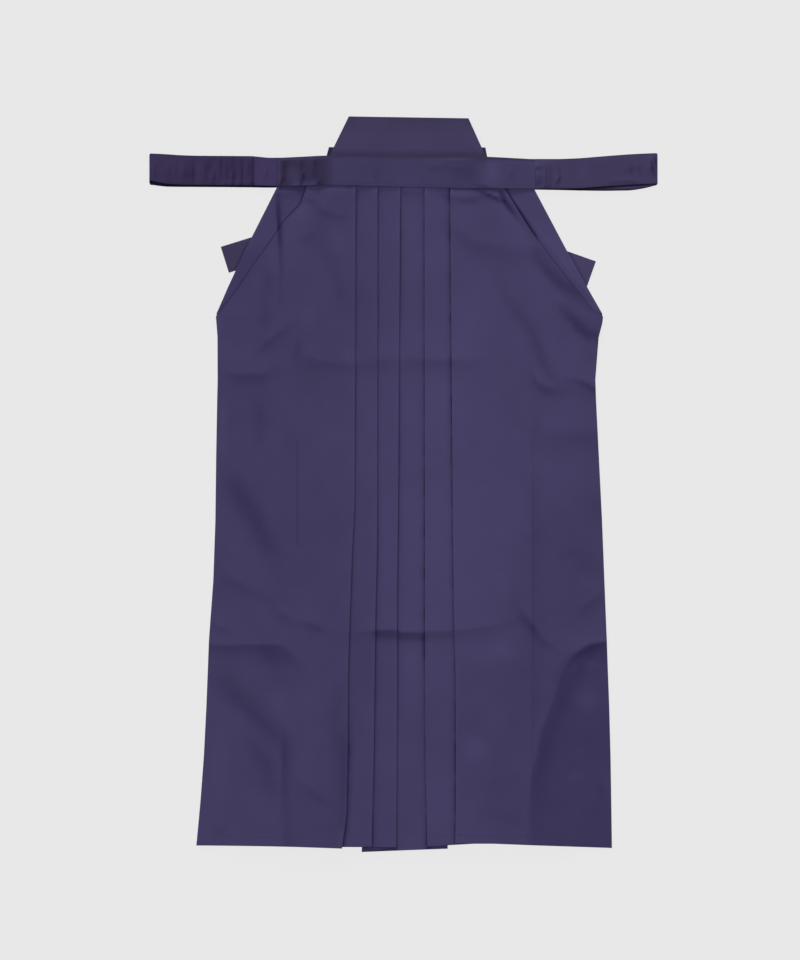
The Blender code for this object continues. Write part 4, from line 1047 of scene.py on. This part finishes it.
# Waistband. A doubled strip of the same cloth is folded over the top of the pleats and stitched
# through near its lower edge. The layers under it show through as soft steps.
BAND_THICK = 0.9
BAND_TURN = 2.6
BAND_SEAM = 3.4
BAND_PALER = 0.10
BandEdge = namedtuple("BandEdge", "x top low")
BAND_EDGES = [BandEdge(*row) for row in (
    (BAND_RIGHT_END, 450.2, 410.9),
    (-106, 452.2, 411.3),
    (-30, 452, 410.2),
    (27, 451.8, 408.6),
    (92, 451.6, 407.1),
    (BAND_LEFT_END, 448.3, 407.5),
)]
BAND_CREASES = [Crease(*row) for row in (
    # Over the wearer's right slit.
    (0.6, 5, 3, 0.38, ((-174, 409, 0.5), (-170, 416, 0.6), (-165.5, 425, 0.3))),
    (0.8, 4, 4, 0.16, ((-166.5, 424, 0.3), (-166.2, 436, 0.6), (-166, 447, 0.4))),
    (3, 8, 8, 0.13, ((-164, 446, -0.1), (-163, 432, -0.1), (-162, 422, -0.1))),
    (0.5, 4, 2.5, 0.42, ((-144.5, 408, 0.9), (-138.5, 426, 1))),
    (0.6, 4, 3, 0.22, ((-142.5, 428, 0.5), (-141.5, 446, 0.8))),
    (0.8, 4, 4, 0.18, ((-124.5, 426, 0.5), (-123, 446, 0.8))),
    (3, 8, 7, -0.22, ((-158, 424, -0.1), (-154, 430, -0.1), (-150, 425, -0.1))),
    (1.5, 5, 3, -0.30, ((-150, 413.5, -0.1), (-138, 413, -0.1), (-122, 413, -0.1))),
    (1.2, 5, 5, 0.34, ((-118.5, 411, 0.3), (-118.5, 415, 0.6), (-119, 419, 0.2))),
    # Over the pleats.
    (1, 4, 4, 0.14, ((-35.5, 412, -0.1), (-36.5, 420, -0.3), (-36.5, 428, -0.2))),
    (4, 8, 7, -0.08, ((0, 417, -0.1), (8, 416.5, -0.1), (14, 417, -0.1))),
    (1, 5, 3.5, 0.12, ((36, 437.5, 0.3), (44, 437, 0.4), (53, 437.5, 0.2))),
    (1, 5, 3.5, 0.12, ((62, 437, 0.2), (74, 435.5, 0.6), (84, 435, 0.3))),
    (2, 6, 4, 0.10, ((60, 446.5, 0.4), (74, 447, 0.6), (92, 446, 0.3))),
    (6, 12, 12, 0.13, ((72, 418, -0.2), (92, 424, -0.5), (104, 440, -0.4))),
    (5, 8, 8, -0.10, ((97, 446, -0.1), (104, 442, -0.2), (108, 434, -0.1))),
    # The pale stretch over the wearer's left slit.
    (6, 12, 12, -0.30, ((120, 418, -0.1), (122, 430, -0.3), (122, 441, -0.2))),
    (1.2, 4, 4, 0.16, ((146, 420, 0.2), (147, 427, 0.4), (147.5, 432, 0.2))),
    (1, 5, 3, 0.12, ((104, 413, 0.3), (112, 411, 0.6), (120, 409.5, 0.3))),
)]

EDGE_STITCHING = Stitching(3.2, 2.4, 0.42)
BAND_COLOUR = (0.0430, 0.0350, 0.0960)
BAND_SHADE_TINT = (0.03, -0.24, -0.03)
band_cloth = weave_finish("band_cloth", BAND_COLOUR, 0.84, 0.12, shade_tint=BAND_SHADE_TINT)
band_thread = thread_finish("band_thread", BAND_COLOUR, 1.05)

# The top of whatever lies under the band.
outer_top = edge_base(PANEL_TOP) + LAYER + CLOTH
strip_top = pleat_base(PANEL_TOP) + CLOTH
right_level = strip_top + 6 * FOLD_PITCH
left_level = strip_top + LAYER + 3 * FOLD_PITCH
BandStation = namedtuple("BandStation", "x under")
BAND_STATIONS = (
    BandStation(BAND_RIGHT_END, band_back_top(BAND_RIGHT_END) + LAYER + 0.25),
    BandStation(-136.0, outer_top + 0.4),
    BandStation(BAND_LEVELS["right"], blend(outer_top, right_level, 0.78)),
    BandStation(-90.4, right_level),
    BandStation(-65.4, right_level),
    BandStation(-35.4, strip_top + 4 * FOLD_PITCH),
    BandStation(-2.9, strip_top + 2 * FOLD_PITCH + 0.6),
    BandStation(28.0, strip_top + 2 * FOLD_PITCH + 0.6),
    BandStation(64.0, left_level),
    BandStation(89.0, left_level),
    BandStation(115.0, left_level - 0.2),
    BandStation(BAND_LEVELS["left"], blend(outer_top, left_level, 0.6)),
    BandStation(142.0, outer_top + 0.3),
    BandStation(BAND_LEFT_END, band_back_top(BAND_LEFT_END) + LAYER + 0.25),
)


def eased_between(at, places, values, reach):
    """Straight between the values given at places, eased over reach on either side."""
    return sum(np.interp(at + step, places, values) for step in (-reach, 0.0, reach)) / 3


stations_x = np.linspace(BAND_RIGHT_END, BAND_LEFT_END, 190)
top, low = (np.interp(stations_x, [edge.x for edge in BAND_EDGES],
                      [getattr(edge, side) for edge in BAND_EDGES]) for side in ("top", "low"))
back_z = band_back_top(stations_x) - CLOTH / 2
front_z = eased_between(stations_x, [station.x for station in BAND_STATIONS],
                        [station.under for station in BAND_STATIONS], 4.0) + SEAM_GAP + CLOTH / 2
half = BAND_THICK / 2
stitch_share = 0.905
shares = (*np.linspace(0.06, 0.78, 10), 0.84, 0.88, stitch_share, 0.93, 0.955, 0.975, 0.99, 1.0)
across = [(blend(BAND_BACK_LOW, top - 1.5, share), back_z) for share in np.linspace(0.0, 1.0, 9)]
across += [(top - half - 1.0 + math.cos(angle), back_z + 1.0 + math.sin(angle))
           for angle in np.linspace(-math.pi / 2, 0.0, 4)[1:]]
turn_start = len(across) - 2
across += [(top - half - BAND_TURN + BAND_TURN * math.cos(angle),
            front_z - BAND_TURN + BAND_TURN * math.sin(angle))
           for angle in np.linspace(0.0, math.pi / 2, 6)]
front_start = len(across)
across += [(blend(top - half - BAND_TURN, low + 0.1, share), front_z) for share in shares]
y, z = (np.stack(part) for part in zip(*across))
x = np.repeat(stations_x[None, :], len(across), axis=0)
line = np.arange(len(across))[:, None]
lift, shade = creased(BAND_CREASES, x, y)
lift = lift + 0.22 * table_lie(x * 1.6, y * 2.0)
seam_pull = 0.10 * bell(y - low - BAND_SEAM, 1.1) + 0.12 * bell(y - low, 0.8)
z = z + np.where(line >= front_start, 1.6 * lift * ease(top - y, 0.0, 6.0) - seam_pull, 0.0)
# Darker over the wearer's right and paler over the left, painted light at the left end against the shade
# of its joint, a little darker at the right end, and the creases' painted shade.
tone_and_painted_light = shade - 0.36 * ease(x, -92.0, -112.0) * ease(x, -171.0, -167.0)
tone_and_painted_light = tone_and_painted_light + BAND_PALER * ease(x, 110.0, 120.0)
tone_and_painted_light = tone_and_painted_light + 0.15 * bell(x - BAND_LEFT_END, 1.6) - 0.12 * ease(x, -166.5, -170.5)
tone_and_painted_light = np.where(line >= front_start, tone_and_painted_light, 0.0)
# Painted shade along the fold at the top, against the light that it catches.
tone_and_painted_light = tone_and_painted_light - np.where(line >= turn_start, 0.85 * bell(top - y, 2.6), 0.0)
piece = lay_cloth("front_waistband_cloth", *(part[::-1] for part in (x, y, z, tone_and_painted_light)), BAND_THICK)
finish_sheet(piece, "front_waistband", band_cloth)
stitched_z = z[front_start + shares.index(stitch_share)] + half + 0.04
points = np.stack([stations_x, low + BAND_SEAM, stitched_z], axis=1)
row = lay_stitches("waistband_stitches", [points[1:-1]], EDGE_STITCHING)
finish_piece(row, band_thread)


# Front ties. Two long doubled straps run out from the ends of the waistband and are folded back
# beneath themselves; the wearer's right one is darker and crumpled along its whole length.
FRONT_TIE_HIDDEN_END = 130.0
TIE_THICKNESS = 1.2
TIE_VISUAL = 1.1
TUCK = 7.0
TieStation = namedtuple("TieStation", "x top low under_top under_low height")
FRONT_TIES = {
    "right": (
        TieStation(-173.3, 450.2, 410.9, 448, 409.4, 1),
        TieStation(-185, 449.8, 411.3, 448, 409.2, 0.88),
        TieStation(-208, 452.4, 412.4, 448, 409.6, 0.2),
        TieStation(-240, 452.7, 412.6, 448.6, 409.9, 0),
        TieStation(-285, 453, 412.9, 449.4, 410.2, 0),
        TieStation(-308, 453.7, 413.3, 450, 410.3, 0),
        TieStation(-329, 455.3, 414.6, 450.5, 410.6, 0),
        TieStation(-349.3, 456.2, 419.2, 451, 413.4, 0),
    ),
    "left": (
        TieStation(181.7, 448.3, 407.5, 446, 406.5, 1),
        TieStation(193, 448.2, 407.6, 446, 406.3, 0.88),
        TieStation(216, 448.4, 407.9, 446, 405.9, 0.2),
        TieStation(245, 449.7, 408.3, 447, 405.2, 0),
        TieStation(278, 452.5, 411, 448.2, 404.8, 0),
        TieStation(315, 455.2, 413.4, 450, 405.4, 0),
        TieStation(337, 456.2, 414.2, 451.6, 409.2, 0),
        TieStation(349.3, 456.6, 415, 452, 413.2, 0),
    ),
}
TIE_CREASES = {
    "right": (
        Crease(0.5, 4, 2.2, 0.62, ((-209.3, 412, 1), (-209, 430, 0.9), (-208.6, 451, 1.2))),
        Crease(0.5, 3, 2, 0.35, ((-213.7, 430, 0.4), (-213.7, 440, 0.6), (-213.5, 450, 0.3))),
        Crease(1.5, 4, 3, -0.22, ((-219.3, 414, -0.1), (-219, 432, -0.2), (-218.6, 448, -0.1))),
        Crease(0.5, 4, 2.4, 0.42, ((-224.5, 413, 0.9), (-224, 432, 0.8), (-224.5, 449, 0.6))),
        Crease(0.6, 4, 3, 0.55, ((-236.5, 413, 0.7), (-236, 424, 1.3), (-235.5, 433, 0.6))),
        Crease(0.8, 4, 3, 0.22, ((-238, 438, 0.6), (-238, 450, 0.8))),
        Crease(0.6, 4, 2.4, 0.28, ((-245.2, 414, 0.5), (-245.5, 430, 0.8), (-245, 449, 0.4))),
        Crease(0.6, 4, 2.6, 0.30, ((-253.7, 420, 0.6), (-253.7, 434, 0.5), (-253.5, 449, 0.8))),
        Crease(1.5, 4, 3, -0.18, ((-258.8, 438, -0.1), (-259, 444, -0.2), (-258.6, 448, -0.1))),
        Crease(0.6, 4, 3, 0.48, ((-263.1, 416, 0.5), (-262.8, 423, 1.2), (-262.5, 431, 0.4))),
        Crease(0.8, 4, 3, 0.20, ((-269, 436, 0.4), (-269.5, 443, 0.8), (-269.5, 449, 0.4))),
        Crease(0.8, 4, 3, 0.22, ((-274.5, 418, 0.4), (-274.2, 428, 0.7), (-273.5, 447, 0.5))),
        Crease(2, 5, 4, -0.22, ((-283.5, 418, -0.1), (-283.3, 434, -0.2), (-283.6, 447, -0.1))),
        Crease(0.6, 4, 2.6, 0.50, ((-291.5, 420, 0.5), (-291.8, 430, 1.2), (-292.5, 445, 0.6))),
        Crease(0.8, 4, 3, 0.28, ((-297.5, 426, 0.4), (-297.8, 434, 0.7), (-298, 442, 0.4))),
        Crease(1, 5, 3.6, 0.30, ((-304.5, 420, 0.4), (-303.8, 430, 0.9), (-303.5, 441, 0.5))),
        Crease(0.8, 4, 3, 0.18, ((-315.5, 424, 0.3), (-315.4, 434, 0.6), (-315.5, 442, 0.3))),
        Crease(1, 5, 3.6, 0.18, ((-325, 422, 0.3), (-324.9, 432, 0.6), (-324.5, 441, 0.3))),
        Crease(0.8, 4, 3, 0.26, ((-343.5, 426, 0.4), (-343.7, 434, 0.8), (-343.4, 443, 0.4))),
        Crease(6, 20, 20, 0.07, ((-214, 432, -0.1), (-232, 432, -0.3), (-250, 432, -0.2))),
        Crease(3, 7, 7, -0.20, ((-272, 419, -0.1), (-250, 418, -0.2), (-228, 418, -0.2))),
        Crease(1, 5, 4, 0.24, ((-192.5, 421, 0.2), (-190.5, 428, 0.4), (-189, 436, 0.2))),
    ),
    "left": (
        Crease(1.5, 5, 5, 0.42, ((181.5, 409, -0.3), (186, 414, -0.5), (187, 421, -0.3))),
        Crease(0.7, 4, 3, 0.34, ((177, 438, 0.5), (183, 437.4, 0.7), (189, 438, 0.4))),
        Crease(2, 4, 4, -0.12, ((176, 431, -0.1), (184, 430.5, -0.2), (192, 431, -0.1))),
        Crease(0.6, 4, 2.5, 0.26, ((196, 410, 0.6), (196, 422, 0.8), (195.6, 440, 0.5))),
        Crease(0.6, 4, 2.5, 0.18, ((201, 412, 0.4), (201, 424, 0.7), (200.6, 438, 0.4))),
        Crease(0.5, 4, 2.5, 0.42, ((211, 415.5, 0.5), (212.5, 419, 0.9), (214.2, 424, 0.5))),
        Crease(0.7, 4, 3, 0.28, ((214.2, 424, 0.5), (213.8, 433, 0.8), (208.5, 444, 0.4))),
        Crease(1.5, 4, 3, -0.16, ((217.6, 426, -0.1), (218, 432, -0.2), (217.6, 438, -0.1))),
        Crease(4, 8, 8, -0.08, ((246, 424, -0.1), (247, 434, -0.2), (247, 444, -0.1))),
        Crease(0.8, 4, 3, -0.20, ((268, 449, -0.1), (275, 450.5, -0.2), (283, 452, -0.1))),
        Crease(0.8, 5, 4, 0.28, ((312.5, 430, 0.4), (311.8, 437, 1), (308.5, 446, 0.5))),
        Crease(1, 6, 5, 0.16, ((324, 430, 0.3), (323, 438, 0.7), (320, 445, 0.3))),
        Crease(0.7, 4, 3, 0.70, ((344.5, 427, 0.4), (341.5, 436, 1.2), (340, 444, 0.6))),
        Crease(0.6, 4, 2.5, 0.70, ((347.5, 440, 0.5), (346, 447, 0.9), (344.5, 452, 0.5))),
        Crease(0.7, 4, 3, 0.05, ((286, 417.5, 0.3), (300, 419, 0.5), (318, 418.5, 0.4))),
    ),
}
front_tie_cloths = {
    "right": weave_finish("right_tie_cloth", (0.0325, 0.0216, 0.0685), 0.84, 0.10),
    "left": weave_finish("left_tie_cloth", (0.0452, 0.0350, 0.0920), 0.84, 0.12),
}

# A line across a tie: how far out it lies, its two ends, its level and 1 if it is on the upper layer.
TieLine = namedtuple("TieLine", "place low top level upper")

for leg, inward in INWARD.items():
    stations = FRONT_TIES[leg]
    turn_radius = TIE_LAYER / 2
    under_z = TIE_THICKNESS / 2
    low_z = under_z + TIE_LAYER
    band_end = BAND_STATIONS[0] if leg == "right" else BAND_STATIONS[-1]
    high_z = band_end.under + SEAM_GAP + CLOTH / 2
    reach = np.array([abs(station.x) for station in stations])
    start, end = reach[0], reach[-1]

    def tie_value(column, at):
        return eased_between(at, reach, [getattr(station, column) for station in stations], 5.0)

    lines = []
    for at in (start - TUCK, start - 3.0, start - 0.8, start + 0.1, *np.linspace(start + 0.6, end, 147)):
        tucked = 1.15 * ease(at, start + 2.4, start - 0.5)
        lines.append(TieLine(at, tie_value("low", at), tie_value("top", at),
                             blend(low_z, high_z, tie_value("height", at)) - tucked, 1.0))
    for angle in np.linspace(0.0, math.pi, 8)[1:-1]:
        share = angle / math.pi
        lines.append(TieLine(end + turn_radius * math.sin(angle),
                             blend(stations[-1].low, stations[-1].under_low, share),
                             blend(stations[-1].top, stations[-1].under_top, share),
                             under_z + turn_radius + turn_radius * math.cos(angle), 0.0))
    for at in np.linspace(end, start, 44):
        lines.append(TieLine(at, tie_value("under_low", at), tie_value("under_top", at), under_z, 0.0))
    for at in np.linspace(start, FRONT_TIE_HIDDEN_END, 8)[1:]:
        lines.append(TieLine(at, stations[0].under_low, stations[0].under_top, under_z, 0.0))
    place, low, top, level, upper = (np.array(column)[:, None] for column in zip(*lines))
    across = np.array([0.0, 0.012, 0.03, 0.06, 0.09, *np.linspace(0.12, 0.88, 14), 0.94, 0.97, 0.988,
                       1.0])
    x = -place * inward + 0.0 * across
    y = low + (top - low) * across
    lift, shade = creased(TIE_CREASES[leg], x, y)
    from_edge = np.minimum(across, 1.0 - across)
    relief = 1.6 * lift * ease(from_edge, -0.02, 0.10) + 0.2 * table_lie(x * 2.0, y * 2.0)
    z = level + upper * (relief - 0.22 * bell(from_edge, 0.02))
    # Painted shade on the layer beneath, where it shows along the lower edge; on the wearer's left a
    # paler sliver between is painted light.
    run = np.abs(x)
    upper_low, under_low = (np.interp(run, reach, [getattr(station, column) for station in stations])
                            for column in ("low", "under_low"))
    if leg == "right":
        under_layer_shade = 0.8 * ease(y, under_low + 10.0, under_low + 7.5)
        paler = 0.34 * ease(run, 207.5, 205.0) + 0.10 * ease(run, 292.0, 312.0)
    else:
        under_layer_shade = 0.95 * np.maximum(bell(y - under_low, 2.6), bell(y - upper_low, 2.8))
        under_layer_shade = under_layer_shade - 0.7 * bell(y - blend(under_low, upper_low, 0.5), 1.2) * ease(run, 275.0, 300.0)
        paler = 0.10 * bell(run - 186.0, 4.0)
    # Painted light at the joint with the waistband, and painted shade along the top edge against the
    # light it catches.
    paler = paler + 0.55 * bell(run - start, 1.4) - 0.7 * bell(1.0 - across, 0.022)
    tone_and_painted_light = upper * (shade + paler) - (1.0 - upper) * under_layer_shade
    piece = lay_cloth("front_tie_" + leg + "_cloth", x, y, z, tone_and_painted_light, TIE_VISUAL, flip=leg == "right")
    finish_sheet(piece, "front_tie_" + leg, front_tie_cloths[leg])


# Back board. A stiff trapezoid slipped into a cover of the same cloth, whose edges are turned in and
# stitched together all round; its open face is left plain.
BOARD_TOP_WIDTH = 165.0
BOARD_BOTTOM_WIDTH = 245.0
BOARD_HEIGHT = 85.0
BOARD_SEAM = 3.2
BOARD_COLOUR = (0.0461, 0.0363, 0.0922)
board_cloth = weave_finish("board_cloth", BOARD_COLOUR, 0.84, 0.10)
board_thread = thread_finish("board_thread", BOARD_COLOUR, 1.2)


def on_board(along_x, along_y):
    """X and Y of a place that is measured from the middle of the turned board."""
    return (BOARD_CENTRE[0] + along_x * math.cos(BOARD_TURN) - along_y * math.sin(BOARD_TURN),
            BOARD_CENTRE[1] + along_x * math.sin(BOARD_TURN) + along_y * math.cos(BOARD_TURN))


edge_shares = np.array([0.0, 0.004, 0.012, 0.024, 0.04])
across = np.concatenate([edge_shares, np.linspace(0.07, 0.93, 40), 1.0 - edge_shares[::-1]])
up = np.concatenate([edge_shares * 2, np.linspace(0.13, 0.87, 18), 1.0 - edge_shares[::-1] * 2])[:, None]
width = blend(BOARD_BOTTOM_WIDTH, BOARD_TOP_WIDTH, up)
flat_x = (across - 0.5) * width
x, y = on_board(flat_x, (up - 0.5) * BOARD_HEIGHT + 0.0 * flat_x)
from_edge = np.minimum((0.5 - np.abs(across - 0.5)) * width, (0.5 - np.abs(up - 0.5)) * BOARD_HEIGHT)
bulge = 0.5 * ease(from_edge, 0.0, 16.0) - 0.22 * bell(from_edge - BOARD_SEAM, 0.8)
slow = 0.25 * np.sin(x / 21.0 + 0.5) * np.sin(y / 17.0 + 1.0)
z = BOARD_UNDERSIDE + BOARD_THICKNESS / 2 + bulge + slow * ease(from_edge, 0.0, 10.0)
# Paler along the rim, darker on the stitched line, painted shade just above the waistband, darker
# towards the top and a little paler over the lower two thirds.
tone_and_painted_light = 0.06 * bell(from_edge, 1.0) - 0.06 * bell(from_edge - BOARD_SEAM, 0.7)
tone_and_painted_light = tone_and_painted_light - 0.13 * ease(y, 461.0, 457.5) - 0.12 * ease(y, 486.0, 503.0) + 0.08 * ease(y, 489.0, 480.0)
board = lay_cloth("back_board_cover", x, y, z, tone_and_painted_light, BOARD_THICKNESS - 0.3)
finish_piece(board, board_cloth, "back_board")

corners = []
for side_x, side_y in ((-1, -1), (-1, 1), (1, 1), (1, -1), (-1, -1)):
    along_y = side_y * (BOARD_HEIGHT / 2 - BOARD_SEAM)
    half = blend(BOARD_BOTTOM_WIDTH, BOARD_TOP_WIDTH, along_y / BOARD_HEIGHT + 0.5) / 2
    corners.append((*on_board(side_x * (half - BOARD_SEAM * 1.1), along_y),
                    BOARD_UNDERSIDE + BOARD_THICKNESS - 0.23))
row = lay_stitches("back_board_stitches", list(zip(corners, corners[1:])), EDGE_STITCHING)
finish_piece(row, board_thread)


# Back ties. Sewn under the board's lower corners, they come out past its sides, are folded under, and
# cross over each other beneath the back legs, so that only their ends show beyond the slits.
BACK_TIE_WIDTH = 37.5
BACK_TIE_SEWN_LENGTH = 30.0
BACK_TIE_FOLDS = {"right": (-106.6, 446.2), "left": (115.4, 445.8)}
TieRun = namedtuple("TieRun", "x y z")
BACK_TIE_RUNS = {
    "right": (
        TieRun(-60, 419.5, 0),
        TieRun(0, 393.5, 0),
        TieRun(90, 354.5, 0),
        TieRun(180, 318, 0),
        TieRun(259.3, 289.9, 0),
    ),
    "left": (
        TieRun(73, 428.5, 0),
        TieRun(54, 420.7, 1),
        TieRun(0, 399, 1),
        TieRun(-62, 374.2, 1),
        TieRun(-95, 361.4, 0),
        TieRun(-170, 333.6, 0),
        TieRun(-246.5, 309.7, 0),
    ),
}

back_tie_cloth = weave_finish("back_tie_cloth", (0.0425, 0.0334, 0.0850), 0.84, 0.12)

# Each tie crosses to the other side of the garment and shows there.
side_shown = {"right": "left", "left": "right"}
for leg, inward in INWARD.items():
    outward = -inward
    half = BACK_TIE_WIDTH / 2
    radius = TIE_LAYER / 2
    low_z = TIE_THICKNESS / 2
    fold_x, fold_y = BACK_TIE_FOLDS[leg]
    run = BACK_TIE_RUNS[leg]
    length = math.hypot(run[0].x - fold_x, run[0].y - fold_y)
    leave = ((run[0].x - fold_x) / length, (run[0].y - fold_y) / length)
    crease_x = outward + leave[0]
    crease_length = math.hypot(crease_x, leave[1])
    crease = (-crease_x / crease_length, -leave[1] / crease_length)
    bulge = (outward * abs(crease[1]), crease[0] * -outward)
    lines = [(fold_x - outward * BACK_TIE_SEWN_LENGTH, fold_y, low_z + TIE_LAYER, 0.0, half)]
    for angle in np.linspace(0.0, math.pi, 9):
        push = radius * math.sin(angle)
        lines.append((fold_x + bulge[0] * push, fold_y + bulge[1] * push,
                      low_z + radius + radius * math.cos(angle), crease[0] * half / crease[1], half))
    for index, place in enumerate(run):
        before = run[index - 1] if index else TieRun(fold_x, fold_y, 0.0)
        after = run[index + 1] if index + 1 < len(run) else place
        length = math.hypot(after.x - before.x, after.y - before.y)
        lines.append((place.x, place.y, low_z + TIE_LAYER * place.z,
                      (after.y - before.y) / length * outward * half,
                      -(after.x - before.x) / length * outward * half))
    lines = np.array(lines)
    gaps = np.linalg.norm(np.diff(lines[:, :2], axis=0), axis=1) + np.abs(np.diff(lines[:, 2]))
    marks = np.concatenate([[0.0], np.cumsum(gaps)])
    fine = np.unique(np.concatenate([marks] + [np.linspace(a, b, max(2, int((b - a) / 2.4)))
                                               for a, b in zip(marks, marks[1:])]))
    middle_x, middle_y, level, half_x, half_y = (
        np.interp(fine, marks, lines[:, column])[:, None] for column in range(5))
    across = np.array([-1.0, -0.97, -0.92, *np.linspace(-0.8, 0.8, 9), 0.92, 0.97, 1.0])
    x = middle_x + half_x * across
    y = middle_y + half_y * across
    z = level + 0.0 * across
    # Painted shade at the folded corner beside the board and in the crevice along the side fold's edge,
    # and paler far out towards the wearer's left.
    beyond = np.abs(x) - np.abs(column_at(OUTER_EDGES, y, side_shown[leg] + "_x"))
    tone_and_painted_light = -0.42 * np.exp(-(np.hypot(x - fold_x, y - fold_y) / 32.0) ** 4)
    tone_and_painted_light = tone_and_painted_light - 0.5 * bell(beyond, 1.9) * ease(y, 345.0, 330.0) + 0.28 * ease(x, 200.0, 235.0)
    piece = lay_cloth("back_tie_" + leg + "_cloth", x, y, z, tone_and_painted_light, TIE_VISUAL)
    finish_sheet(piece, "back_tie_" + leg, back_tie_cloth)
